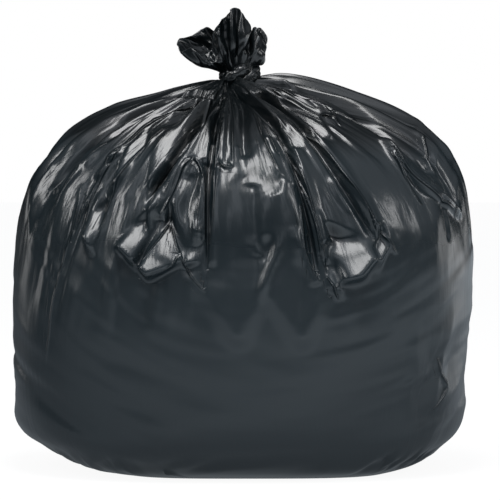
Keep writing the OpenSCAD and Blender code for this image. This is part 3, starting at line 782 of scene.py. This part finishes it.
# %% Meshes from rings
def grid_mesh(name, points, uv_size):
    """A mesh from closed rings of points in millimetres, closed at both ends, with a UV map in metres."""
    rings, count = points.shape[:2]
    number = np.arange(rings * count).reshape(rings, count)
    low, high = number[:-1], number[1:]
    quads = np.stack([low, np.roll(low, -1, 1), np.roll(high, -1, 1), high], -1).reshape(-1, 4)
    faces = quads.tolist() + [number[0, ::-1].tolist(), number[-1].tolist()]
    mesh = bpy.data.meshes.new(name)
    mesh.from_pydata((points.reshape(-1, 3) * MM).tolist(), [], faces)
    mesh.polygons.foreach_set("use_smooth", [True] * len(mesh.polygons))
    corners = np.zeros(len(mesh.loops), int)
    mesh.loops.foreach_get("vertex_index", corners)
    uv = np.stack([corners % count / count * uv_size[0], corners // count / (rings - 1) * uv_size[1]], -1)
    last_column = np.repeat(np.arange(len(quads)) % count == count - 1, 4)
    wraps = np.nonzero(last_column & (corners[:len(last_column)] % count == 0))[0]
    uv[wraps, 0] = uv_size[0]
    mesh.uv_layers.new(name="film_flat").data.foreach_set("uv", uv.reshape(-1))
    piece = bpy.data.objects.new(name, mesh)
    bpy.context.scene.collection.objects.link(piece)
    return piece


def number_on_points(piece, name, values):
    """One number for each point of a mesh, which its material can read by name."""
    attribute = piece.data.attributes.new(name, "FLOAT", "POINT")
    attribute.data.foreach_set("value", np.asarray(values, float).reshape(-1))


print("meshes so far:", len(bpy.data.meshes))

# %% The film body
body = grid_mesh("film_body", skin, (GIRTH, row_runs[-1] * MM))
number_on_points(body, "crown", np.maximum(crown, 0.9 * flashing * on_top))
upward_shade = ease((outward[..., 2] - 0.62) / 0.2)       # where the film faces the ceiling more than the walls; its colour is darkened there as painted shade
near_knot = ease(1 - from_neck / 70)                # within 70 mm of it
deep_fold_shade = ease((-folds - 4) / 6)               # painted shade in deep folds: from 4 mm down, and wholly from 10 mm
# How far the film's colour goes towards black: near the knot, where it lies in several layers, and as painted shade
# over the crown, most where it faces up, and in deep folds.
layers_and_shade = np.maximum(0.9 * near_knot, crown * mix(0.3, 1, upward_shade))
number_on_points(body, "layers", np.maximum(layers_and_shade, 0.8 * deep_fold_shade))
number_on_points(body, "line_distance", line_distance)
number_on_points(body, "line_strength", line_strength)
print("film body:", len(body.data.polygons), "faces, about", 2 * len(body.data.polygons), "triangles")

# %% [markdown]
# ## The loose mouth
#
# Above the knot the film opens again into a crumpled mouth: a trumpet to the left that shows its dark inside, a
# tall folded lobe in the middle, and a rounded ear to the right. It is one closed strip of film, so it is lofted
# through four closed sections: a round bunch in the knot, and three that are listed. The inner side comes back down
# at a small distance, which closes the film and gives its edge something to catch. Each row of the table is one
# column of the loft: the lower section, the upper section, the rim.

# %% Sections of the mouth
KNOT_CENTRE = (-7, 0, 469)
BUNCH_RADIUS = 12
MOUTH_COLUMNS_BY_HAND = [
    # right ear, over its back
    ((15, -1, 480), (25, -2, 490), (29, -3, 504)),
    ((14, 5, 481), (22, 5, 498), (27, 5, 517)),
    ((10, 8, 484), (16, 9, 507), (20, 10, 527)),
    ((6, 9, 486), (10, 11, 507), (11, 12, 524)),
    ((2, 10, 486), (5, 14, 500), (4, 18, 511)),
    # back of the middle lobe
    ((-2, 13, 486), (-2, 19, 508), (-3, 24, 530)),
    ((-8, 14, 486), (-11, 21, 510), (-14, 26, 535)),
    ((-14, 13, 487), (-19, 19, 505), (-24, 23, 520)),
    # back wall and tip of the left trumpet: it leans forward over the hollow
    ((-19, 11, 487), (-28, 19, 505), (-35, 12, 523)),
    ((-24, 9, 487), (-36, 17, 508), (-45, 8, 527)),
    ((-28, 6, 485), (-44, 14, 505), (-56, 6, 522)),
    ((-31, 3, 482), (-51, 8, 500), (-69, 2, 516)),
    ((-33, 0, 479), (-58, 0, 494), (-78, -3, 514)),
    ((-33, -4, 477), (-60, -10, 487), (-81, -11, 505)),
    # front wall of the trumpet: it bulges out below its rim
    ((-32, -8, 476), (-56, -19, 483), (-76, -20, 498)),
    ((-31, -11, 477), (-48, -24, 483), (-64, -23, 503)),
    ((-29, -13, 478), (-42, -26, 483), (-55, -24, 497)),
    ((-26, -15, 480), (-36, -27, 485), (-46, -22, 496)),
    ((-23, -15, 482), (-31, -24, 491), (-39, -18, 502)),
    # front of the middle lobe: three layers, with a valley between each two
    ((-21, -17, 484), (-31, -26, 506), (-39, -21, 517)),
    ((-19, -19, 485), (-27, -31, 511), (-32, -27, 529)),
    ((-15, -17, 485), (-21, -21, 513), (-25, -17, 539)),
    ((-12, -20, 486), (-15, -31, 516), (-17, -26, 548)),
    ((-8, -18, 486), (-9, -21, 518), (-9, -16, 551)),
    ((-4, -19, 486), (-3, -27, 515), (-2, -22, 544)),
    ((1, -17, 486), (3, -20, 507), (4, -15, 531)),
    ((3, -13, 485), (6, -12, 498), (6, -10, 517)),
    # right ear, front
    ((7, -12, 483), (12, -19, 503), (12, -15, 528)),
    ((11, -9, 482), (19, -14, 500), (21, -11, 522)),
    ((14, -5, 481), (25, -9, 492), (28, -6, 508)),
]
print("columns of the mouth by hand:", len(MOUTH_COLUMNS_BY_HAND))

# %% Loft the mouth through its sections
MOUTH_COLUMNS, MOUTH_ROWS = 312, 64
INNER_SHARE = 0.82      # how far back down the inner side comes
FILM_BUNDLE = 0.9       # millimetres: the edge that shows is several layers of film


def closed_curve(points, count):
    """count places on a smooth closed curve through points."""
    points = np.asarray(points, float)
    wrapped = np.concatenate([points[-1:], points, points[:2]])
    return along(wrapped, 1 + np.arange(count) / count * len(points))


sections = np.array(MOUTH_COLUMNS_BY_HAND, float)
mouth_turn = np.arange(MOUTH_COLUMNS) / MOUTH_COLUMNS
angle = np.radians(mouth_turn * 360)
bunch = np.array(KNOT_CENTRE) + BUNCH_RADIUS * np.stack([np.cos(angle), np.sin(angle), 0 * angle], -1)
levels = [bunch] + [closed_curve(sections[:, level], MOUTH_COLUMNS) for level in range(3)]
mouth_rise = np.linspace(0, 3, MOUTH_ROWS)
mouth = np.stack([along(np.array(levels)[:, column], mouth_rise) for column in range(MOUTH_COLUMNS)], 1)
mouth_out = unit(np.cross(np.roll(mouth, -1, 1) - np.roll(mouth, 1, 1), np.gradient(mouth, axis=0)))
print("mouth before its folds:", mouth.shape[:2], "rows and columns")

# %% Folds of the mouth, and its inner side
across, rise = np.meshgrid(mouth_turn, mouth_rise / 3)
long_folds = facets(across * 22, rise * 1.6 + 3, 22, 71)
broad_facets = facets(across * 34, rise * 4.2 + 5, 34, 72)
fine_facets = facets(across * 64, rise * 9 + 7, 64, 73)
grown = ease((rise - 0.1) / 0.5)
crumple = averaged((2.6 * long_folds + 2.8 * broad_facets + 1.3 * fine_facets) * mix(0.3, 1, grown))
outside = mouth + mouth_out * crumple[..., None]
inside = outside[::-1] - mouth_out[::-1] * FILM_BUNDLE
inside = inside[:int(MOUTH_ROWS * INNER_SHARE)]
mouth_piece = grid_mesh("film_mouth", np.concatenate([outside, inside]), (0.4, 0.12))
# The whole mouth gets the blackest film colour: it lies in several layers, and the dark of its hollow is painted
# shade.
for name in ("crown", "layers"):
    number_on_points(mouth_piece, name, np.ones(len(mouth_piece.data.vertices)))
print("mouth:", len(mouth_piece.data.polygons), "faces, highest point",
      round(outside[..., 2].max(), 1), "mm")

# %% [markdown]
# ## Adding nodes
#
# Materials and Geometry Nodes are both trees of nodes. One small function adds a node, applies its settings and
# links its inputs, so that each node below is one line that can be read from left to right.

# %% A small function that adds a node
def add(tree, kind, inputs=None, **settings):
    """Add a node, apply its settings, and set or link its inputs (a socket links, anything else is a value)."""
    node = tree.nodes.new(kind)
    for name, value in settings.items():
        setattr(node, name, value)
    for name, value in (inputs or {}).items():
        if isinstance(value, bpy.types.NodeSocket):
            tree.links.new(value, node.inputs[name])
        else:
            node.inputs[name].default_value = value
    return node


print("node helper ready")

# %% [markdown]
# ## The material: blown polyethylene film
#
# Low-density polyethylene, coloured with carbon black and blown into thin film. It is a plain plastic with an
# index of refraction of 1.5: almost no light comes out of its colour, and nearly everything seen is reflection.
# Where it is stretched over the refuse it is thin and greyer, and its sheen is soft. Near the knot, in the mouth
# and in the knot it lies in several layers, so it is blacker; on the crown, most where it faces up, in deep folds
# and in the mouth's hollow it is made blacker as painted shade. The gathered film is glossy. Fine crinkles, about
# 12 mm across and five times as long up the film, break the highlights up. The sharp fine lines come from the
# distance on the mesh.

# %% Film material
CLOUDS_PER_METRE = 9.0                          # thicker and thinner patches about 110 mm wide
CRINKLES_PER_METRE, CRINKLE_STRETCH = 80.0, 0.2     # 12.5 mm across, and five times as long up the film
film = bpy.data.materials.new("blown_polyethylene_film")
film.use_nodes = True
tree = film.node_tree
shader = tree.nodes["Principled BSDF"]
shader.inputs["IOR"].default_value = 1.5
crown_value = add(tree, "ShaderNodeAttribute", attribute_name="crown").outputs["Fac"]
flat_film = add(tree, "ShaderNodeUVMap", uv_map="film_flat").outputs["UV"]

cloudy = add(tree, "ShaderNodeTexNoise", {"Vector": flat_film, "Scale": CLOUDS_PER_METRE, "Detail": 3.0})
stretched_film = add(tree, "ShaderNodeMix", {0: cloudy.outputs["Fac"], 6: colour("#171f23"), 7: colour("#1e272b")},
                     data_type="RGBA")
# The colour goes towards black by the mesh's number: where the film lies in several layers, and as painted shade on
# the crown, in deep folds, in the mouth and in the knot.
layers_value = add(tree, "ShaderNodeAttribute", attribute_name="layers").outputs["Fac"]
colour_with_painted_shade = add(tree, "ShaderNodeMix", {0: layers_value, 6: stretched_film.outputs[2], 7: colour("#090e10")},
           data_type="RGBA")
tree.links.new(colour_with_painted_shade.outputs[2], shader.inputs["Base Color"])
gloss = add(tree, "ShaderNodeMapRange", {"Value": crown_value, "To Min": 0.3, "To Max": 0.17})
uneven = add(tree, "ShaderNodeMath", {0: cloudy.outputs["Fac"], 1: 0.08, 2: gloss.outputs[0]},
             operation="MULTIPLY_ADD")
tree.links.new(uneven.outputs[0], shader.inputs["Roughness"])

stretched = add(tree, "ShaderNodeMapping", {"Vector": flat_film, "Scale": (1.0, CRINKLE_STRETCH, 1.0)})
crinkle = add(tree, "ShaderNodeTexNoise", {"Vector": stretched.outputs[0], "Scale": CRINKLES_PER_METRE,
                                           "Detail": 3.0, "Roughness": 0.55, "Distortion": 0.4})
strength = add(tree, "ShaderNodeMapRange", {"Value": crown_value, "To Min": 0.09, "To Max": 0.24})
crinkled = add(tree, "ShaderNodeBump", {"Height": crinkle.outputs["Fac"], "Strength": strength.outputs[0],
                                        "Distance": 0.003})
print("film:", film.name, "nodes without the fine lines:", len(tree.nodes))

# %% Fine lines in the film
LINE_WIDTH = 1.3        # millimetres from the middle to the foot: wider than a real line, so that it shows
distance_value = add(tree, "ShaderNodeAttribute", attribute_name="line_distance").outputs["Fac"]
strength_value = add(tree, "ShaderNodeAttribute", attribute_name="line_strength").outputs["Fac"]
scaled = add(tree, "ShaderNodeMath", {0: distance_value, 1: 1 / LINE_WIDTH}, operation="MULTIPLY")
squared = add(tree, "ShaderNodeMath", {0: scaled.outputs[0], 1: scaled.outputs[0]}, operation="MULTIPLY")
negative = add(tree, "ShaderNodeMath", {0: 0.0, 1: squared.outputs[0]}, operation="SUBTRACT")
bell = add(tree, "ShaderNodeMath", {0: negative.outputs[0]}, operation="EXPONENT")
line = add(tree, "ShaderNodeMath", {0: bell.outputs[0], 1: strength_value}, operation="MULTIPLY")
lined = add(tree, "ShaderNodeBump", {"Height": line.outputs[0], "Strength": 1.0, "Distance": 0.002,
                                     "Normal": crinkled.outputs[0]})
tree.links.new(lined.outputs[0], shader.inputs["Normal"])

for piece in (body, mouth_piece):
    piece.data.materials.clear()
    piece.data.materials.append(film)
print("film with its fine lines, nodes:", len(tree.nodes))

# %% [markdown]
# ## The knot, with Geometry Nodes
#
# The neck of the bag is tied in itself, so the knot is a roll of film that goes over, round and through. A roll
# of one thickness that follows a path is what Curve to Mesh makes. The path is a trefoil, the simplest closed
# knot. The tree sweeps a round profile along it and then creases the surface inwards with noise.

# %% Sweep a creased roll along the knot's path
PROFILE_POINTS = 40
NOISE_GAIN = 6.0        # the noise strays only a little from its middle, so its distance from it is multiplied
rolls = bpy.data.node_groups.new("creased_roll", "GeometryNodeTree")
rolls.is_modifier = True
for name, kind in (("Path", "NodeSocketGeometry"), ("Roll radius", "NodeSocketFloat"),
                   ("Crease depth", "NodeSocketFloat"), ("Creases per metre", "NodeSocketFloat"),
                   ("Seed", "NodeSocketFloat"), ("Film", "NodeSocketMaterial")):
    rolls.interface.new_socket(name, in_out="INPUT", socket_type=kind)
rolls.interface.new_socket("Roll", in_out="OUTPUT", socket_type="NodeSocketGeometry")
given = add(rolls, "NodeGroupInput").outputs
profile = add(rolls, "GeometryNodeCurvePrimitiveCircle", {"Resolution": PROFILE_POINTS,
                                                          "Radius": given["Roll radius"]})
swept = add(rolls, "GeometryNodeCurveToMesh", {"Curve": given["Path"], "Profile Curve": profile.outputs[0]})
where = add(rolls, "GeometryNodeInputPosition").outputs[0]
wrinkle = add(rolls, "ShaderNodeTexNoise", {"Vector": where, "W": given["Seed"],
                                            "Scale": given["Creases per metre"], "Detail": 2.0},
              noise_dimensions="4D")
centred = add(rolls, "ShaderNodeMath", {0: wrinkle.outputs[0], 1: 0.5}, operation="SUBTRACT")
folded = add(rolls, "ShaderNodeMath", {0: centred.outputs[0]}, operation="ABSOLUTE")
inward = add(rolls, "ShaderNodeMath", {0: folded.outputs[0], 1: given["Crease depth"]}, operation="MULTIPLY")
facing = add(rolls, "GeometryNodeInputNormal").outputs[0]
shift = add(rolls, "ShaderNodeVectorMath", {0: facing, "Scale": inward.outputs[0]}, operation="SCALE")
flipped = add(rolls, "ShaderNodeVectorMath", {0: shift.outputs[0], "Scale": -NOISE_GAIN}, operation="SCALE")
dented = add(rolls, "GeometryNodeSetPosition", {"Geometry": swept.outputs[0], "Offset": flipped.outputs[0]})
smooth = add(rolls, "GeometryNodeSetShadeSmooth", {"Geometry": dented.outputs[0]})
real = add(rolls, "GeometryNodeRealizeInstances", {"Geometry": smooth.outputs[0]})
finished = add(rolls, "GeometryNodeSetMaterial", {"Geometry": real.outputs[0], "Material": given["Film"]})
add(rolls, "NodeGroupOutput", {"Roll": finished.outputs[0]})
print("tree inputs:", [item.name for item in rolls.interface.items_tree if item.in_out == "INPUT"])

# %% Tie the knot
LOOP_RADIUS, LOOP_SWING, LOOP_RISE = 14, 4.5, 7     # millimetres
PATH_POINTS, TILT = 160, math.radians(18)
ROLL = {"Roll radius": 0.0092, "Crease depth": 0.0022, "Creases per metre": 85.0, "Seed": 3.0, "Film": film}
turns = np.linspace(0, 2 * np.pi, PATH_POINTS, endpoint=False)
loop = LOOP_RADIUS + LOOP_SWING * np.cos(3 * turns)
trefoil = np.stack([loop * np.cos(2 * turns), loop * np.sin(2 * turns), LOOP_RISE * np.sin(3 * turns)], -1)
trefoil[:, 2] += trefoil[:, 0] * math.sin(TILT)
trefoil = (trefoil + KNOT_CENTRE) * MM

path = bpy.data.curves.new("knot_path", "CURVE")
path.dimensions = "3D"
spline = path.splines.new("POLY")
spline.points.add(len(trefoil) - 1)
spline.points.foreach_set("co", np.concatenate([trefoil, np.ones((len(trefoil), 1))], 1).reshape(-1))
spline.use_cyclic_u = True
knot_curve = bpy.data.objects.new("knot_path", path)
bpy.context.scene.collection.objects.link(knot_curve)
sweep = knot_curve.modifiers.new("roll", "NODES")
sweep.node_group = rolls
inputs = {item.name: item.identifier for item in rolls.interface.items_tree if item.in_out == "INPUT"}
for name, value in ROLL.items():
    sweep[inputs[name]] = value
graph = bpy.context.evaluated_depsgraph_get()
knot = bpy.data.objects.new("film_knot", bpy.data.meshes.new_from_object(knot_curve.evaluated_get(graph)))
knot.data.name = "film_knot"
bpy.context.scene.collection.objects.link(knot)
bpy.data.objects.remove(knot_curve)
# The knot gets the blackest film colour, as film in several layers and as painted shade.
for name in ("crown", "layers"):
    number_on_points(knot, name, np.ones(len(knot.data.vertices)))
print("knot:", len(knot.data.polygons), "faces")

# %% [markdown]
# ## The floor
#
# The bag stands on one large flat square of white backdrop paper. Dark film shows nothing but what it mirrors, so
# the paper has two looks. The camera sees it nearly white, with the bag's shadow, because part of it is still paper
# that the lamps light. In the film it is painted light and shade: a grey copy of the paper that glows, with a
# painted pool of light in a band in front of the bag, as when a spotlight falls there, weaker to the left. Far to
# the right the floor glows paler all along, and elsewhere behind the bag it is painted dark, so the edges of the
# bag stay dark against the white.

# %% Floor
REACH = 8.0
floor_mesh = bpy.data.meshes.new("floor")
floor_mesh.from_pydata([(-REACH, -REACH, 0), (REACH, -REACH, 0), (REACH, REACH, 0), (-REACH, REACH, 0)], [],
                       [(0, 1, 2, 3)])
floor = bpy.data.objects.new("floor", floor_mesh)
bpy.context.scene.collection.objects.link(floor)
print("floor faces:", len(floor_mesh.polygons))

# %% Backdrop paper
# Painted light for the film: how brightly the paper glows, in bands from front to back, with a painted pool of
# light in front of the bag and painted shade behind it.
BAND = ((0.34, 0.15), (0.5, 0.95), (0.62, 0.95), (0.66, 0.5), (0.7, 0.2), (0.92, 0.02))
GLOW_SHARE, WHITE = 0.87, 1.075     # for the camera: how much of the paper glows, and how brightly
MIRRORED = 1.4                      # how brightly it glows in the film
paper = bpy.data.materials.new("white_backdrop_paper")
paper.use_nodes = True
tree = paper.node_tree
matt = tree.nodes["Principled BSDF"]
matt.inputs["Roughness"].default_value = 0.9
ray = add(tree, "ShaderNodeLightPath").outputs
# Painted shade: for every ray but the camera's the paper is a darker grey.
grey = add(tree, "ShaderNodeMix", {0: ray["Is Camera Ray"], 6: colour("#6c7278"), 7: colour("#e6e6e6")},
           data_type="RGBA")
tree.links.new(grey.outputs[2], matt.inputs["Base Color"])
spot = add(tree, "ShaderNodeSeparateXYZ", {0: add(tree, "ShaderNodeNewGeometry").outputs["Position"]})
away = add(tree, "ShaderNodeMapRange", {"Value": spot.outputs["Y"], "From Min": -5.0, "From Max": 2.0})
lit = add(tree, "ShaderNodeValToRGB", {"Fac": away.outputs[0]})
stops = lit.color_ramp.elements
stops[0].color, stops[1].color = (0.15, 0.15, 0.15, 1), (0.02, 0.02, 0.02, 1)
for position, level in BAND:
    stops.new(position).color = (level, level, level, 1)
# The glow is dimmed to the left as painted shade, and made paler far to the right as painted light.
flag = add(tree, "ShaderNodeMapRange", {"Value": spot.outputs["X"], "From Min": -1.5, "From Max": 0.2,
                                        "To Min": 0.35, "To Max": 1.0})
beside = add(tree, "ShaderNodeMapRange", {"Value": spot.outputs["X"], "From Min": 0.5, "From Max": 1.4,
                                          "To Max": 0.6})
flagged = add(tree, "ShaderNodeMath", {0: lit.outputs[0], 1: flag.outputs[0], 2: beside.outputs[0]},
              operation="MULTIPLY_ADD")
seen = add(tree, "ShaderNodeMix", {0: ray["Is Camera Ray"], 2: flagged.outputs[0], 3: GLOW_SHARE})
bluish = add(tree, "ShaderNodeMix", {0: ray["Is Camera Ray"], 6: colour("#ebf6ff"), 7: colour("#ffffff")},
             data_type="RGBA")
bright = add(tree, "ShaderNodeMix", {0: ray["Is Camera Ray"], 2: MIRRORED, 3: WHITE})
white = add(tree, "ShaderNodeEmission", {"Color": bluish.outputs[2], "Strength": bright.outputs[0]})
blend = add(tree, "ShaderNodeMixShader", {0: seen.outputs[0], 1: matt.outputs[0], 2: white.outputs[0]})
tree.links.new(blend.outputs[0], tree.nodes["Material Output"].inputs["Surface"])
floor_mesh.materials.append(paper)
print("paper:", paper.name, "nodes:", len(tree.nodes))

# %% [markdown]
# ## The lamps
#
# A photographer lights black film with large white panels, because the film shows nothing but their reflection.
# A long narrow panel hangs over the bag and makes the flashes on the crown. A smaller one stands high at each
# side, and one low at the right. Two weak ones behind the bag draw its rims.

# %% Lamps
def panel(name, place, width, height, brightness):
    """An area lamp that faces the bag; brightness is how bright it looks, whatever its size."""
    lamp = bpy.data.lights.new(name, "AREA")
    lamp.shape = "RECTANGLE"
    lamp.size, lamp.size_y = width, height
    lamp.energy = brightness * math.pi * width * height
    holder = bpy.data.objects.new(name, lamp)
    holder.location = place
    holder.rotation_euler = (Vector((0, 0, 0.3)) - Vector(place)).to_track_quat("-Z", "Y").to_euler()
    bpy.context.scene.collection.objects.link(holder)


panel("panel_overhead", OVERHEAD, OVERHEAD_WIDTH, OVERHEAD_LENGTH, 11.5)
panel("panel_left", (-1.75, -0.7, 1.5), 0.3, 0.9, 12)
panel("panel_right", (1.7, -0.9, 1.5), 0.26, 0.8, 9)
panel("panel_side", (2.0, 0.5, 0.5), 0.5, 0.5, 2.2)
panel("panel_rim", (2.2, 1.6, 0.25), 0.9, 0.5, 1.8)
panel("panel_left_rim", (-2.2, 1.6, 0.45), 0.9, 0.5, 1.3)

# %% [markdown]
# ## The room
#
# For the camera the room is plain white. What the film mirrors is a room that is dim low down and pale high up,
# darker to the left and much darker behind the bag. High in front it has two soft bright patches, like a pair of
# windows.

# %% World
ROOM = ((0.04, 0.12), (0.22, 0.12), (0.45, 0.5))
WINDOWS = ((0.27, 0.0), (0.32, 1.0), (0.35, 1.0), (0.41, 0.0), (0.57, 0.0), (0.61, 1.0), (0.64, 1.0), (0.69, 0.0))
world = bpy.data.worlds.new("pale_room")
bpy.context.scene.world = world
world.use_nodes = True
tree = world.node_tree
direction = add(tree, "ShaderNodeTexCoord").outputs["Generated"]
parts = add(tree, "ShaderNodeSeparateXYZ", {0: direction}).outputs
shade = add(tree, "ShaderNodeValToRGB", {"Fac": parts["Z"]})
stops = shade.color_ramp.elements
stops[0].position, stops[0].color = 0.0, (0.2, 0.2, 0.2, 1)
stops[1].position, stops[1].color = 0.8, (0.68, 0.68, 0.68, 1)
for position, level in ROOM:
    stops.new(position).color = (level, level, level, 1)
room_light = tree.nodes["Background"]
room_light.inputs["Color"].default_value = colour("#f0f6ff")
flag = add(tree, "ShaderNodeMapRange", {"Value": parts["X"], "From Min": -1.0, "To Min": 0.55, "To Max": 1.05})
behind = add(tree, "ShaderNodeMapRange", {"Value": parts["Y"], "From Min": 0.05, "From Max": 0.6, "To Min": 1.0,
                                          "To Max": 0.12})
dimmed = add(tree, "ShaderNodeMath", {0: flag.outputs[0], 1: behind.outputs[0]}, operation="MULTIPLY")
flagged = add(tree, "ShaderNodeMath", {0: shade.outputs[0], 1: dimmed.outputs[0]}, operation="MULTIPLY")
print("room stops:", len(stops))

# %% Windows in the world
round_the_room = add(tree, "ShaderNodeMapRange", {"Value": parts["X"], "From Min": -1.0})
windows = add(tree, "ShaderNodeValToRGB", {"Fac": round_the_room.outputs[0]})
stops = windows.color_ramp.elements
for position, level in WINDOWS:
    stops.new(position).color = (level, level, level, 1)
stops[0].color = stops[-1].color = (0, 0, 0, 1)
high = add(tree, "ShaderNodeMapRange", {"Value": parts["Z"], "From Min": 0.3, "From Max": 0.5, "To Max": 1.4})
in_front = add(tree, "ShaderNodeMapRange", {"Value": parts["Y"], "From Min": -0.3, "From Max": 0.05, "To Min": 1.0,
                                            "To Max": 0.0})
front_high = add(tree, "ShaderNodeMath", {0: high.outputs[0], 1: in_front.outputs[0]}, operation="MULTIPLY")
window_light = add(tree, "ShaderNodeMath", {0: windows.outputs[0], 1: front_high.outputs[0],
                                            2: flagged.outputs[0]}, operation="MULTIPLY_ADD")
tree.links.new(window_light.outputs[0], room_light.inputs["Strength"])
ray = add(tree, "ShaderNodeLightPath").outputs
backdrop = add(tree, "ShaderNodeBackground", {"Color": (1, 1, 1, 1), "Strength": 1.0})
blend = add(tree, "ShaderNodeMixShader", {0: ray["Is Camera Ray"], 1: room_light.outputs[0],
                                          2: backdrop.outputs[0]})
tree.links.new(blend.outputs[0], tree.nodes["World Output"].inputs["Surface"])
print("world nodes:", len(tree.nodes))

# %% [markdown]
# ## Hand the pieces to the frame
#
# The three pieces of film together stand for the one CAD solid.

for piece in (body, mouth_piece, knot):
    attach(piece, "root")
    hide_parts("tied_bag")
